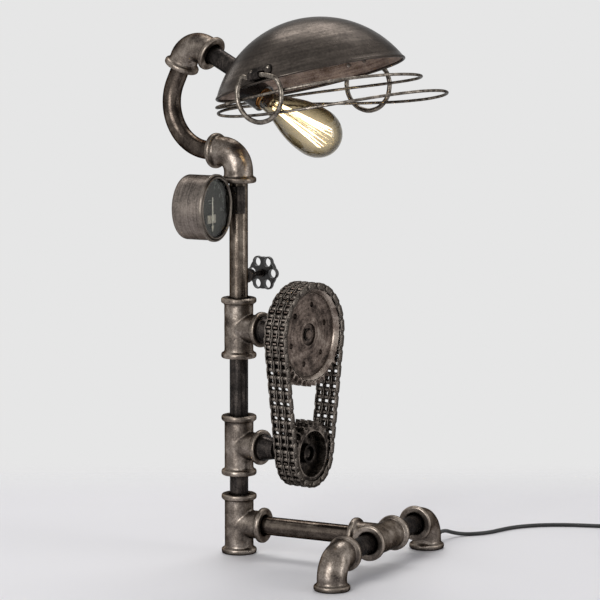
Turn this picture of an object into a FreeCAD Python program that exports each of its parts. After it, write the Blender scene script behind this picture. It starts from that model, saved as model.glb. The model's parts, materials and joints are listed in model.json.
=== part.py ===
import FreeCAD, Part
import math
import os

from FreeCAD import Placement, Rotation, Vector

# Industrial pipe table lamp.
# The column stands on the origin. +X is the way the shade and the chain drive face,
# +Y is the far side, where the hand wheel is, and +Z is up. Everything is in millimetres.
# The pipe base is screwed on a little out of line, so it is turned about the column.

X = Vector(1, 0, 0)
Y = Vector(0, 1, 0)
Z = Vector(0, 0, 1)

# Pipe and malleable fittings
pipe_r = 11.6
pipe_wall = 2.6
fitting_reach = 38.0
fitting_r = 18.2
branch_r = 17.6
band_r = 22.2
band_len = 7.0
band_round = 2.4
elbow_bend_r = 24.0
thread_depth = 13.0
thread_gap = 0.05
swivel_gap = 0.3
waterway_r = 9.8

# Base
base_turn = 8.0
base_reach = 198.0
foot_gap = 58.0

# Column
low_tee_z = 138.0
top_elbow_z = 505.7

# Arm
arm_lead = 8.0
arm_bend_r = 58.0
arm_lean = 26.0
arm_end_run = 20.0

# Shade and what holds it
shade_r = 130.0
shade_wall = 1.6
shade_out = 218.5
shade_tilt = 15.5
shade_rim_drop = 56.4
rim_bead_r = 1.7
nipple_past_elbow = 43.0
collar_r = 19.0
collar_len = 9.0
rod_r = 5.0
rod_bore_r = 3.4
nut_flat_r = 7.0
nut_thick = 3.5
block_thick = 7.0
block_width = 19.0
holder_offset = 12.0
holder_r = 17.0
holder_len = 30.0
cap_r = 13.2
cap_len = 26.0
bulb_r = 30.5
bulb_len = 142.0
glass_wall = 0.9
filament_legs = 7
filament_r = 0.5

# Rings, straps and wire hoops at the rim
ring_wire_r = 2.9
ring_mid_r = 33.0
near_ring_shift = 12.0
far_ring_shift = 2.0
ring_drop = 13.0
ring_bar_rise = 22.0
ring_bar_len = 22.0
strap_shift = 5.0
strap_len = 34.0
strap_high = 13.0
strap_thick = 1.6
rivet_r = 2.8
rivet_spread = 12.0
hoop_wire_r = 1.8
upper_hoop_half_len = 126.0
upper_hoop_shift = 13.0
upper_hoop_drop = 13.0
upper_hoop_slope = 0.185
upper_hoop_twist = -0.0004
upper_hoop_bow = 0.0
upper_hoop_widening = 2.25
upper_hoop_side = -0.85
lower_hoop_half_len = 147.0
lower_hoop_shift = 31.6
lower_hoop_drop = 33.9
lower_hoop_slope = 0.111
lower_hoop_twist = -0.0003
lower_hoop_bow = 0.00046

# Gauge
gauge_turn = 9.0
gauge_z = 441.0
gauge_r = 41.6
gauge_case_r = 40.0
gauge_face_out = 1.5
gauge_depth = 45.0
gauge_wall = 1.8
gauge_corner_r = 6.0
gauge_side_gap = 6.3
gauge_bezel_len = 5.0
gauge_lens_thick = 1.6
gauge_dial_deep = 10.0
needle_len = 27.0
needle_tail = 15.0
needle_drop = 14.0
bracket_high = 34.0
bracket_rise = 6.0
bracket_skin = 2.0

# Hand wheel switch
switch_z = 350.0
wheel_out = 52.0
wheel_hole_ring_r = 15.6
wheel_disc_r = 20.4
wheel_lobe_r = 7.4
wheel_hole_r = 5.6
wheel_thick = 6.0
wheel_round = 1.8
wheel_holes = 6
stem_r = 3.0
running_gap = 0.05

# Chain drive: three-strand roller chain with 9.525 mm pitch
chain_pitch = 9.525
chain_links = 64
strand_step = 10.24
roller_r = 3.175
roller_len = 5.72
plate_high = 8.2
plate_waist = 5.6
inner_plate = 1.3
outer_plate = 1.04
pin_r = 1.64
pin_gap = 0.06
big_teeth = 40
small_teeth = 25
tooth_thick = 5.2
tooth_seat_r = 3.5
tooth_rise = 3.2
big_holes = 6
big_hole_ring_r = 37.0
big_hole_r = 3.6
big_hole_turn = 47.0
drive_out = 100.5
axle_r = 6.0

# Cord
cord_r = 2.5
gland_z = 12.6
gland_len = 22.0
gland_r = 5.2
coil_in_r = 20.0
coil_step = 5.5
coil_turns = 3.625
coil_centre = Vector(378, 385, 0)
coil_start_angle = 110.0
coil_sense = -1
plug_len = 36.0
plug_wide = 26.0
plug_high = 13.0
plug_round = 4.0
pin_wire_r = 2.0
pin_len = 19.0
pin_side = 9.5

pipe_bore_r = pipe_r - pipe_wall
seat_end = fitting_reach - thread_depth

os.makedirs("parts", exist_ok=True)


def save(name, shape):
    """Write one node."""
    shape.exportStep("parts/" + name + ".step")


def along(direction, at=Vector(0, 0, 0), side=None):
    """Placement that turns local Z to a direction, and local X to a side if one is given."""
    if side is None:
        return Placement(at, Rotation(Z, direction))
    return Placement(at, Rotation(side, direction.cross(side), direction, "ZXY"))


def put(shape, placement):
    """A copy of a shape at a placement."""
    copy = shape.copy()
    copy.Placement = placement.multiply(copy.Placement)
    return copy


def turned(outline):
    """Solid of revolution about Z. The outline's corners are (radius, height) pairs."""
    corners = [Vector(radius, 0, height) for radius, height in outline]
    face = Part.Face(Part.makePolygon(corners + corners[:1]))
    return face.revolve(Vector(0, 0, 0), Z, 360)


def rod(radius, start, end):
    """Cylinder along Z."""
    return Part.makeCylinder(radius, end - start, Vector(0, 0, start))


def sleeve(outer, inner, start, end):
    """Tube along Z."""
    return rod(outer, start, end).cut(rod(inner, start, end))


def hexagon(flat_r, start, end):
    """Hexagonal prism along Z, its flats at a radius."""
    corner_r = flat_r / math.cos(math.pi / 6)
    corners = [Vector(corner_r * math.cos(a * math.pi / 3), corner_r * math.sin(a * math.pi / 3), start)
               for a in range(6)]
    return Part.Face(Part.makePolygon(corners + corners[:1])).extrude(Vector(0, 0, end - start))


def swept(edges, radius):
    """Round bar along a line of edges."""
    path = Part.Wire(edges)
    first = path.OrderedEdges[0]
    start = first.valueAt(first.FirstParameter)
    heading = first.tangentAt(first.FirstParameter)
    ring = Part.Wire([Part.makeCircle(radius, start, heading)])
    return path.makePipeShell([ring], True, False)


def swept_loop(edges, radius):
    """Round bar along a closed line of edges, made as two halves."""
    half = len(edges) // 2
    return swept(edges[:half], radius).fuse(swept(edges[half:], radius))


def rounded_route(points, share=0.45, closed=False):
    """Straight runs joined by tangent arcs, each as large as its shorter run allows.

    Returns the edges and the arcs' radii.
    """
    count = len(points)
    turns = range(count) if closed else range(1, count - 1)
    corners = {}
    radii = []
    for i in turns:
        before = points[i] - points[i - 1]
        after = points[(i + 1) % count] - points[i]
        half_turn = before.getAngle(after) / 2
        cut = share * min(before.Length, after.Length)
        radii.append(cut / math.tan(half_turn))
        start = points[i] - before.normalize() * cut
        end = points[i] + after.normalize() * cut
        chord_mid = (start + end) * 0.5
        bulge = math.cos(half_turn) / (1 + math.cos(half_turn))
        corners[i] = (start, chord_mid + (points[i] - chord_mid) * bulge, end)
    edges = []
    for i in range(count if closed else count - 1):
        j = (i + 1) % count
        start = corners[i][2] if i in corners else points[i]
        end = corners[j][0] if j in corners else points[j]
        edges.append(Part.LineSegment(start, end).toShape())
        if j in corners:
            edges.append(Part.Arc(*corners[j]).toShape())
    return edges, radii


def fitting_leg(radius):
    """One leg of a fitting along Z from its centre, with the rounded band at its mouth."""
    band = rod(band_r, fitting_reach - band_len, fitting_reach)
    rims = [edge for edge in band.Edges if edge.Closed]
    return rod(radius, 0, fitting_reach).fuse(band.makeFillet(band_round, rims))


def fitting_bore():
    """Threaded socket and waterway of one leg along Z."""
    socket = rod(pipe_r + thread_gap, seat_end, fitting_reach)
    return rod(waterway_r, 0, fitting_reach).fuse(socket)


def tee():
    """Tee with its run along Z and its branch along X."""
    legs = [fitting_leg(fitting_r), put(fitting_leg(fitting_r), along(Z * -1)),
            put(fitting_leg(branch_r), along(X))]
    bores = [put(fitting_bore(), along(way)) for way in (Z, Z * -1, X)]
    return legs[0].multiFuse(legs[1:]).removeSplitter().cut(bores[0].multiFuse(bores[1:]))


def bend(radius):
    """Quarter turn of round bar from the X leg to the Z leg of an elbow."""
    disc = Part.Face(Part.Wire([Part.makeCircle(radius, Vector(elbow_bend_r, 0, 0), X)]))
    return disc.revolve(Vector(elbow_bend_r, 0, elbow_bend_r), Y, 90)


def elbow():
    """Elbow with legs along X and Z."""
    stub = rod(fitting_r, elbow_bend_r, fitting_reach)
    band = rod(band_r, fitting_reach - band_len, fitting_reach)
    leg = stub.fuse(band.makeFillet(band_round, [edge for edge in band.Edges if edge.Closed]))
    socket = rod(pipe_r + thread_gap, seat_end, fitting_reach)
    bore = rod(waterway_r, elbow_bend_r, fitting_reach).fuse(socket)
    outside = bend(fitting_r).multiFuse([put(leg, along(Z)), put(leg, along(X))])
    inside = bend(waterway_r).multiFuse([put(bore, along(Z)), put(bore, along(X))])
    return outside.removeSplitter().cut(inside)


def elbow_at(centre, x_leg, z_leg):
    """Elbow with its two legs along two square directions."""
    return put(elbow(), along(z_leg, centre, x_leg))


def pipe(start, end):
    """Straight pipe between two points."""
    length = (end - start).Length
    return put(sleeve(pipe_r, pipe_bore_r, 0, length), along(end - start, start))


def spin_z(shape, degrees):
    """A copy turned about the column."""
    return put(shape, Placement(Vector(0, 0, 0), Rotation(Z, degrees)))


def in_base(x, y, z):
    """A point of the base, which is turned about the column."""
    return Rotation(Z, base_turn).multVec(Vector(x, y, z))


# Base: column tee, cross tee, two feet
foot_y = 2 * fitting_reach + foot_gap
base_z = fitting_reach
save("base_tee", spin_z(put(tee(), Placement(Vector(0, 0, base_z), Rotation())), base_turn))
base_pipe = pipe(Vector(seat_end, 0, base_z), Vector(base_reach - seat_end, 0, base_z))
save("base_pipe", spin_z(base_pipe, base_turn))
cross_tee = put(tee(), along(Y, Vector(base_reach, 0, base_z), X * -1))
save("front_tee", spin_z(cross_tee, base_turn))
for name, side in (("near", -1), ("far", 1)):
    start = Vector(base_reach, side * seat_end, base_z)
    end = Vector(base_reach, side * (foot_y - seat_end), base_z)
    save("foot_nipple_" + name, spin_z(pipe(start, end), base_turn))

gland_seat = fitting_r - 3.0
gland_hole_r = gland_r - 1.4
for name, side in (("near", -1), ("far", 1)):
    foot = elbow_at(Vector(base_reach, side * foot_y, base_z), Z * -1, Y * -side)
    if name == "far":
        hole = put(rod(gland_hole_r, 0, 2 * fitting_r), along(Y, Vector(base_reach, foot_y, gland_z)))
        foot = foot.cut(hole)
    save("foot_elbow_" + name, spin_z(foot, base_turn))

# Chain geometry: the two sprockets' distance comes from the number of links
big_pitch_r = chain_pitch / (2 * math.sin(math.pi / big_teeth))
small_pitch_r = chain_pitch / (2 * math.sin(math.pi / small_teeth))


def half_chain(distance):
    """Pitches from the top of the big wheel to the tangent, along the run, and to the bottom."""
    lean = math.asin((big_pitch_r - small_pitch_r) / distance)
    over = big_teeth * (0.25 + lean / (2 * math.pi))
    run = distance * math.cos(lean) / chain_pitch
    under = small_teeth * (0.25 - lean / (2 * math.pi))
    return lean, over, run, under


axle_distance = 150.0
for _ in range(20):
    lean, over, run, under = half_chain(axle_distance)
    axle_distance += (chain_links / 2 - over - run - under) * chain_pitch
mid_tee_z = low_tee_z + axle_distance

# Column
column = (("column_nipple_low", base_z, low_tee_z), ("column_pipe_mid", low_tee_z, mid_tee_z))
for name, below, above in column:
    save(name, pipe(Vector(0, 0, below + seat_end), Vector(0, 0, above - seat_end)))
for name, height in (("lower_tee", low_tee_z), ("mid_tee", mid_tee_z)):
    save(name, put(tee(), Placement(Vector(0, 0, height), Rotation())))
neck_r = 5.0
upper_pipe = pipe(Vector(0, 0, mid_tee_z + seat_end), Vector(0, 0, top_elbow_z - seat_end - swivel_gap))
switch_hole = put(rod(neck_r + running_gap, 0, 2 * pipe_r), along(Y, Vector(0, 0, switch_z)))
save("column_pipe_top", upper_pipe.cut(switch_hole))

# Swing arm: elbow on the column, bent pipe, elbow that carries the shade
save("top_elbow", elbow_at(Vector(0, 0, top_elbow_z), X * -1, Z * -1))
lean_rad = math.radians(arm_lean)
lean_up = Vector(math.sin(lean_rad), 0, math.cos(lean_rad))
lean_out = Vector(math.cos(lean_rad), 0, -math.sin(lean_rad))
bend_start = Vector(-fitting_reach - arm_lead, 0, top_elbow_z)
bend_centre = bend_start + Z * arm_bend_r
bend_mid_angle = math.radians(225 - arm_lean / 2)
bend_mid = bend_centre + Vector(math.cos(bend_mid_angle), 0, math.sin(bend_mid_angle)) * arm_bend_r
bend_end = bend_centre - lean_out * arm_bend_r
head_elbow_centre = bend_end + lean_up * (arm_end_run + fitting_reach)
arm_path = [Part.LineSegment(Vector(-seat_end, 0, top_elbow_z), bend_start).toShape(),
            Part.Arc(bend_start, bend_mid, bend_end).toShape(),
            Part.LineSegment(bend_end, head_elbow_centre - lean_up * seat_end).toShape()]
save("arm_pipe", swept(arm_path, pipe_r).cut(swept(arm_path, pipe_bore_r)))
save("head_elbow", elbow_at(head_elbow_centre, lean_out, lean_up * -1))


def on_head(distance, lift=0.0, side=0.0):
    """A point in the shade's frame: out along the nipple, up square to it, and sideways."""
    return head_elbow_centre + lean_out * distance + lean_up * lift + Y * side


def head_piece(shape, lift=0.0):
    """A piece made along Z from the head elbow's centre, put on the nipple's axis."""
    return put(shape, along(lean_out, on_head(0, lift), lean_up))


# Shade: a spherical bowl turned down over the bulb, on a nipple square to its wall
shade_centre = on_head(shade_out)
tilt_rad = math.radians(shade_tilt)
shade_up = Vector(-math.sin(tilt_rad), 0, math.cos(tilt_rad))
shade_fore = Vector(math.cos(tilt_rad), 0, math.sin(tilt_rad))
rim_centre = shade_centre + shade_up * shade_rim_drop
rim_r = math.sqrt(shade_r ** 2 - shade_rim_drop ** 2)
wall_at = shade_out - shade_r
ball = Part.makeSphere(shade_r, shade_centre)
hollow = Part.makeSphere(shade_r - shade_wall, shade_centre)
below = put(rod(3 * shade_r, -3 * shade_r, 0), along(shade_up, rim_centre))
bead = Part.makeTorus(rim_r - shade_wall / 2, rim_bead_r, rim_centre, shade_up)
shade = ball.cut(hollow).cut(below).fuse(bead)

# The nipple's end is closed around the hollow rod that carries the shade and the lampholder
nut_corner_r = nut_flat_r / math.cos(math.pi / 6)
inner_wall_r = shade_r - shade_wall
nut_at = shade_out - math.sqrt(inner_wall_r ** 2 - nut_corner_r ** 2) + 0.05
nipple_end = nut_at - shade_wall - 1.0
rod_start = nipple_end - 14
nipple = sleeve(pipe_r, pipe_bore_r, seat_end + swivel_gap, nipple_end).fuse(
    sleeve(pipe_bore_r, rod_r, rod_start, nipple_end))
save("head_nipple", head_piece(nipple).removeSplitter().cut(ball))
collar = turned([(pipe_r, wall_at - collar_len), (collar_r - 4, wall_at - collar_len),
                 (collar_r, wall_at - 2), (collar_r, wall_at + 6), (pipe_r, wall_at + 6)])
save("shade_collar", head_piece(collar).cut(ball))
block_at = nut_at + nut_thick
block_front = block_at + block_thick
save("holder_rod", head_piece(sleeve(rod_r, rod_bore_r, rod_start, block_front - 0.5)))
nut = hexagon(nut_flat_r, nut_at, block_at).cut(rod(rod_r, nut_at - 1, block_at + 1))
save("shade_nut", head_piece(nut))
block = Part.makeBox(block_width, holder_offset + block_width, block_thick,
                     Vector(-block_width / 2, -block_width / 2, 0))
block = block.makeFillet(block_width / 2 - 1, [edge for edge in block.Edges
                                               if abs(edge.tangentAt(0).z) > 0.9])
block_hole = rod(rod_r, -1, block_thick + 1)
other_hole = put(block_hole, Placement(Vector(0, holder_offset, 0), Rotation()))
block = block.cut(block_hole).cut(other_hole)
save("holder_block", put(block, along(lean_out, on_head(block_at), Y * -1)))

# Lampholder, screwed into the block beside the rod
holder_mouth = block_front + holder_len
floor_at = block_front + 3.0
shell = turned([(rod_bore_r, block_at + 0.5), (rod_r, block_at + 0.5), (rod_r, block_front),
                (holder_r - 4, block_front), (holder_r, block_front + 4), (holder_r, holder_mouth),
                (holder_r - 1.6, holder_mouth), (holder_r - 1.6, floor_at), (rod_bore_r, floor_at)])
save("lampholder_shell", head_piece(shell, -holder_offset))
contact_at = floor_at + 4.0
insert = turned([(0, floor_at), (holder_r - 1.7, floor_at), (holder_r - 1.7, holder_mouth - 3),
                 (cap_r + 0.4, holder_mouth - 3), (cap_r + 0.4, contact_at), (0, contact_at)])
save("lampholder_insert", head_piece(insert, -holder_offset))

# Bulb: screw cap, pear-shaped glass, stem with its filament
cap_end = contact_at + 0.4
glass_at = cap_end + cap_len
thread = [(0, cap_end), (4.5, cap_end), (4.5, cap_end + 1.5), (10.5, cap_end + 4)]
for i in range(6):
    thread += [(cap_r, cap_end + 5.5 + 3 * i), (cap_r - 1.1, cap_end + 7 + 3 * i)]
thread += [(cap_r, glass_at - 2), (cap_r, glass_at), (cap_r - 2, glass_at), (cap_r - 2, cap_end + 6),
           (0, cap_end + 6)]
save("bulb_cap", head_piece(turned(thread), -holder_offset))


def glass_outline(inset):
    """Half outline of the bulb as smooth curves, drawn in by an inset."""
    start = glass_at + 0.1
    tip = cap_end + bulb_len
    neck = cap_r - 0.6 - inset
    belly = bulb_r - inset
    belly_at = tip - 1.12 * bulb_r
    low = Part.BezierCurve()
    low.setPoles([Vector(neck, 0, start), Vector(neck, 0, start + 24),
                  Vector(belly, 0, belly_at - 40), Vector(belly, 0, belly_at)])
    top = Part.BezierCurve()
    top.setPoles([Vector(belly, 0, belly_at), Vector(belly, 0, belly_at + 0.62 * bulb_r),
                  Vector(0.6 * bulb_r, 0, tip - inset), Vector(0, 0, tip - inset)])
    axis = Part.LineSegment(Vector(0, 0, tip - inset), Vector(0, 0, start)).toShape()
    mouth = Part.LineSegment(Vector(0, 0, start), Vector(neck, 0, start)).toShape()
    return Part.Face(Part.Wire([low.toShape(), top.toShape(), axis, mouth]))


outer_glass = glass_outline(0).revolve(Vector(0, 0, 0), Z, 360)
inner_glass = glass_outline(glass_wall).revolve(Vector(0, 0, 0), Z, 360)
save("bulb_glass", head_piece(outer_glass.cut(inner_glass), -holder_offset))
stem_top = glass_at + 42
stem = turned([(0, cap_end + 6.1), (6.5, cap_end + 6.1), (6.5, glass_at - 1), (8, glass_at + 6),
               (3, glass_at + 16), (3, stem_top), (0, stem_top)])
wires = []
for i in range(filament_legs):
    angle = 2 * math.pi * i / filament_legs
    inner = Vector(2.4 * math.cos(angle), 2.4 * math.sin(angle), stem_top - 6)
    outer = Vector(13 * math.cos(angle), 13 * math.sin(angle), stem_top + 32)
    wires.append(Part.makeCylinder(filament_r, (outer - inner).Length, inner, outer - inner))
save("bulb_stem", head_piece(stem.multiFuse(wires), -holder_offset))

# Ring handles on both sides of the rim, each on a bar in a riveted strap
ring_side = rim_r + rim_bead_r + ring_wire_r + 0.4
barrel_r = ring_wire_r + strap_thick + 0.1
barrel_len = ring_bar_len - 6
outer_skin = Part.makeSphere(shade_r + strap_thick, shade_centre)
rivets = []
shank_r = 0.55 * rivet_r
ring_arcs = 9
for name, side, shift in (("near", -1, near_ring_shift), ("far", 1, far_ring_shift)):
    centre = rim_centre + X * shift - Z * ring_drop + Y * (side * ring_side)
    bar = rim_centre + X * (strap_shift if side < 0 else shift - strap_shift)
    bar = Vector(bar.x, centre.y, centre.z + ring_bar_rise)
    half_bar = shade_fore * (ring_bar_len / 2)
    loop = [bar - half_bar, bar + half_bar]
    corner_r = ring_mid_r / math.cos(math.radians(270 / (ring_arcs - 1) / 2) * 0.5)
    for i in range(ring_arcs):
        angle = math.radians(40 - i * 260 / (ring_arcs - 1))
        loop.append(centre + Vector(math.cos(angle), 0, math.sin(angle)) * corner_r)
    ring_edges, _ = rounded_route(loop, 0.42, closed=True)
    save("ring_" + name, swept_loop(ring_edges, ring_wire_r))

    # The strap wraps the ring's bar, and its wings lie on the shade under two rivets
    level = Placement(Vector(0, 0, 0), Rotation(Z, 0 if side < 0 else 180))
    strap_frame = along(Y * side, bar, shade_fore).multiply(level)
    wings = Part.makeBox(strap_len, strap_high, 30, Vector(-strap_len / 2, -2, -28))
    wings = wings.makeFillet(5.5, [edge for edge in wings.Edges if abs(edge.tangentAt(0).z) > 0.9])
    wings = put(wings, strap_frame).common(outer_skin)
    lug = Part.makeBox(barrel_len, barrel_r + 2, 16, Vector(-barrel_len / 2, -2, -16))
    barrel = put(rod(barrel_r, -barrel_len / 2, barrel_len / 2), along(shade_fore, bar))
    slot = put(rod(ring_wire_r + 0.1, -barrel_len, barrel_len), along(shade_fore, bar))
    strap = wings.multiFuse([put(lug, strap_frame), barrel]).cut(slot).cut(ball).removeSplitter()
    strap = strap.cut(swept_loop(ring_edges, ring_wire_r + 0.1))
    for spread in (-rivet_spread, rivet_spread):
        spot = bar + shade_fore * spread + shade_up * (strap_high / 2)
        reach = shade_r ** 2 - (spot.x - shade_centre.x) ** 2 - (spot.z - shade_centre.z) ** 2
        spot = Vector(spot.x, side * math.sqrt(reach), spot.z)
        outward = (spot - shade_centre).normalize()
        hole = put(rod(shank_r + 0.02, -5, 5), along(outward, spot))
        strap = strap.cut(hole)
        shade = shade.cut(hole)
        head_at = strap_thick + 0.02
        dome = Part.makeSphere(rivet_r, Vector(0, 0, head_at - 0.3 * rivet_r))
        dome = dome.cut(rod(2 * rivet_r, -3 * rivet_r, head_at))
        tail_at = -shade_wall - 0.1
        shank = rod(shank_r, tail_at, head_at).fuse(rod(rivet_r - 0.4, tail_at - 1, tail_at))
        rivets.append(put(dome.fuse(shank), along(outward, spot)))
    save("ring_strap_" + name, strap)
save("strap_rivets", Part.makeCompound(rivets))
save("shade", shade.cut(head_piece(rod(rod_r + thread_gap, 0, shade_out))))

# Two wire hoops between the rings, welded to their inner faces
hoop_half_width = ring_side - ring_wire_r - hoop_wire_r
hoop_points = 20
hoops = (("hoop_upper", upper_hoop_half_len, hoop_half_width + upper_hoop_widening,
          Vector(upper_hoop_shift, upper_hoop_side, -upper_hoop_drop),
          upper_hoop_slope, upper_hoop_twist, upper_hoop_bow),
         ("hoop_lower", lower_hoop_half_len, hoop_half_width,
          Vector(lower_hoop_shift, 0, -lower_hoop_drop),
          lower_hoop_slope, lower_hoop_twist, lower_hoop_bow))
for name, half_len, half_width, offset, slope, twist, bow in hoops:
    middle = rim_centre + offset
    corner_share = 1 / (1 - 0.5 * (math.pi / hoop_points) ** 2)
    points = []
    for i in range(hoop_points):
        angle = 2 * math.pi * (i + 0.5) / hoop_points
        across = half_len * math.cos(angle) * corner_share
        sideways = half_width * math.sin(angle) * corner_share
        rise = slope * across + twist * across * sideways + bow * across ** 2
        points.append(middle + Vector(across, sideways, rise))
    hoop_edges, _ = rounded_route(points, 0.46, closed=True)
    save(name, swept_loop(hoop_edges, hoop_wire_r))

# Gauge on a saddle bracket at the near side of the column
gauge_x = Rotation(Z, gauge_turn).multVec(X)
gauge_y = Rotation(Z, gauge_turn).multVec(Y)
gauge_off = gauge_case_r + pipe_r + gauge_side_gap
gauge_centre = gauge_x * gauge_face_out - gauge_y * gauge_off + Z * gauge_z


def gauge_piece(shape):
    """A piece made along Z with the gauge's front at zero, put in place."""
    return put(shape, along(gauge_x, gauge_centre, Z))


back = -gauge_depth
lens_back = -3 - gauge_lens_thick
dial_back = -gauge_dial_deep - 1


def rounded_drum(radius, start, end, corner_r):
    """Cylinder along Z with its start's edge rounded."""
    drum = rod(radius, start, end)
    return drum.makeFillet(corner_r, [edge for edge in drum.Edges if edge.Closed
                                      and edge.CenterOfMass.z < start + 1])


case = rounded_drum(gauge_case_r, back, -3, gauge_corner_r)
case_hollow = rounded_drum(gauge_case_r - gauge_wall, back + gauge_wall, 0,
                           gauge_corner_r - gauge_wall)
save("gauge_case", gauge_piece(case.cut(case_hollow)))
lip_r = gauge_r - 5.5
save("gauge_bezel", gauge_piece(turned([(gauge_case_r + 0.02, -gauge_bezel_len),
                                        (gauge_r, -gauge_bezel_len), (gauge_r, -3.4),
                                        (gauge_r - 1, -3), (gauge_r - 1, -1.4), (gauge_r - 2.4, 0),
                                        (lip_r + 1.4, 0), (lip_r, -1.4), (lip_r, -3),
                                        (gauge_case_r + 0.02, -3)])))
lens_r = gauge_case_r - gauge_wall - 0.05
save("gauge_glass", gauge_piece(rod(lens_r, lens_back, -3)))
pivot = Placement(Vector(-needle_drop, 0, 0), Rotation())
dial = rod(lens_r, dial_back, lens_back).cut(rod(lip_r, -gauge_dial_deep, 0))
plate = put(Part.makeBox(10, 21, 1, Vector(-5, -10.5, -gauge_dial_deep)), pivot)
dial = dial.fuse(plate).cut(put(rod(2, 2 * dial_back, 0), pivot))
save("gauge_dial", gauge_piece(dial))
movement = Part.makeBox(34, 30, dial_back - back - gauge_wall - 0.1,
                        Vector(-17, -15, back + gauge_wall + 0.05))
arbor_hole = rod(1.45, dial_back - 8, 0)
save("gauge_movement", gauge_piece(put(movement.cut(arbor_hole), pivot)))
needle_at = -gauge_dial_deep + 2.4
arbor = rod(1.4, dial_back - 7.7, needle_at + 1.6)
hub = rod(3, needle_at - 0.6, needle_at + 1.2)
corners = [Vector(-needle_tail, -1.3, needle_at), Vector(-needle_tail, 1.3, needle_at),
           Vector(needle_len, 0.5, needle_at), Vector(needle_len, -0.5, needle_at)]
pointer = Part.Face(Part.makePolygon(corners + corners[:1])).extrude(Vector(0, 0, 0.7))
save("gauge_needle", gauge_piece(put(arbor.multiFuse([pointer, hub]), pivot)))

# The bracket hugs the near side of the column and is welded to the gauge's side
skin = sleeve(pipe_r + bracket_skin, pipe_r, 0, bracket_high)
half = Part.makeBox(60, 60, bracket_high, Vector(-30, -66, 0))
web = Part.makeBox(12, gauge_off - pipe_r - gauge_case_r + 16, bracket_high,
                   Vector(-7, -gauge_off + gauge_case_r - 14, 0))
bracket = skin.common(half).fuse(web.cut(rod(pipe_r, -1, bracket_high + 1)))
bracket_at = gauge_z + bracket_rise - bracket_high / 2
bracket = put(bracket, Placement(Vector(0, 0, bracket_at), Rotation(Z, gauge_turn)))
bezel_room = rod(gauge_r + 0.02, -gauge_bezel_len - 0.02, gauge_bezel_len)
bracket = bracket.cut(gauge_piece(rod(gauge_case_r, back - 1, 1).fuse(bezel_room)))
save("gauge_bracket", bracket.removeSplitter())


# Hand wheel on a rotary switch inside the column
def switch_piece(shape):
    """A piece made along Z from the column's axis, put on the switch's axis."""
    return put(shape, along(Y, Vector(0, 0, switch_z), X))


switch_body_r = 6.0
save("rotary_switch", switch_piece(turned([(stem_r + running_gap, -2), (stem_r + running_gap, 16),
                                           (neck_r, 16), (neck_r, switch_body_r),
                                           (switch_body_r, switch_body_r),
                                           (switch_body_r, -switch_body_r), (0, -switch_body_r),
                                           (0, -2)])))
bonnet = turned([(neck_r, 8), (9.5, 8), (9.5, 17), (8.6, 18), (neck_r, 18)])
bonnet_cap = turned([(neck_r, 16), (neck_r, 18), (8.6, 18), (7, 27), (5, 30), (stem_r + 0.4, 30),
                     (stem_r + 0.4, 16)])
bonnet = switch_piece(bonnet.fuse(bonnet_cap).removeSplitter()).cut(rod(pipe_r, 0, 2 * switch_z))
save("switch_bonnet", bonnet)
wheel_front = wheel_out + wheel_thick / 2
stem = turned([(0, -1.5), (stem_r, -1.5), (stem_r, wheel_front + 6), (0, wheel_front + 6)])
flange = rod(5, wheel_front - wheel_thick - 3, wheel_front - wheel_thick)
save("switch_stem", switch_piece(stem.fuse(flange)))
disc = rod(wheel_disc_r, -wheel_thick / 2, wheel_thick / 2)
disc = disc.makeFillet(wheel_round, [edge for edge in disc.Edges if edge.Closed])
lobes = []
holes = [rod(stem_r + 0.02, -wheel_thick, wheel_thick)]
for i in range(wheel_holes):
    angle = 2 * math.pi * i / wheel_holes
    spot = Vector(wheel_hole_ring_r * math.cos(angle), wheel_hole_ring_r * math.sin(angle), 0)
    move = Placement(spot, Rotation())
    lobe = rod(wheel_lobe_r, -wheel_thick / 2, wheel_thick / 2)
    lobe = lobe.makeFillet(wheel_round, [edge for edge in lobe.Edges if edge.Closed])
    lobes.append(put(lobe, move))
    holes.append(put(rod(wheel_hole_r, -wheel_thick, wheel_thick), move))
wheel = disc.multiFuse(lobes).cut(holes[0].multiFuse(holes[1:]))
save("hand_wheel", switch_piece(put(wheel, Placement(Vector(0, 0, wheel_out), Rotation()))))
wheel_nut = hexagon(5.5, wheel_front, wheel_front + 4).cut(rod(stem_r, 0, wheel_front + 10))
save("wheel_nut", switch_piece(wheel_nut))


# Sprockets
def toothed_disc(teeth, pitch_r):
    """One toothed row, its gaps at whole steps from local X, from z 0 to the tooth's thickness."""
    step = 2 * math.pi / teeth
    tip_r = pitch_r + tooth_rise
    tip_half = step / 2 - 0.9 / tip_r
    seat_side = math.radians(75)
    side_x = pitch_r - tooth_seat_r * math.cos(seat_side)
    side_y = tooth_seat_r * math.sin(seat_side)
    edges = []
    for i in range(teeth):
        turn = Rotation(Z, math.degrees(i * step))
        next_turn = Rotation(Z, math.degrees((i + 1) * step))
        tip_in = turn.multVec(Vector(tip_r * math.cos(tip_half), -tip_r * math.sin(tip_half), 0))
        seat_in = turn.multVec(Vector(side_x, -side_y, 0))
        seat_mid = turn.multVec(Vector(pitch_r - tooth_seat_r, 0, 0))
        seat_out = turn.multVec(Vector(side_x, side_y, 0))
        tip_out = turn.multVec(Vector(tip_r * math.cos(tip_half), tip_r * math.sin(tip_half), 0))
        tip_next = next_turn.multVec(Vector(tip_r * math.cos(tip_half), -tip_r * math.sin(tip_half), 0))
        edges.append(Part.LineSegment(tip_in, seat_in).toShape())
        edges.append(Part.Arc(seat_in, seat_mid, seat_out).toShape())
        edges.append(Part.LineSegment(seat_out, tip_out).toShape())
        edges.append(Part.LineSegment(tip_out, tip_next).toShape())
    return Part.Face(Part.Wire(edges)).extrude(Vector(0, 0, tooth_thick))


drive_half = strand_step + tooth_thick / 2


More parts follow.
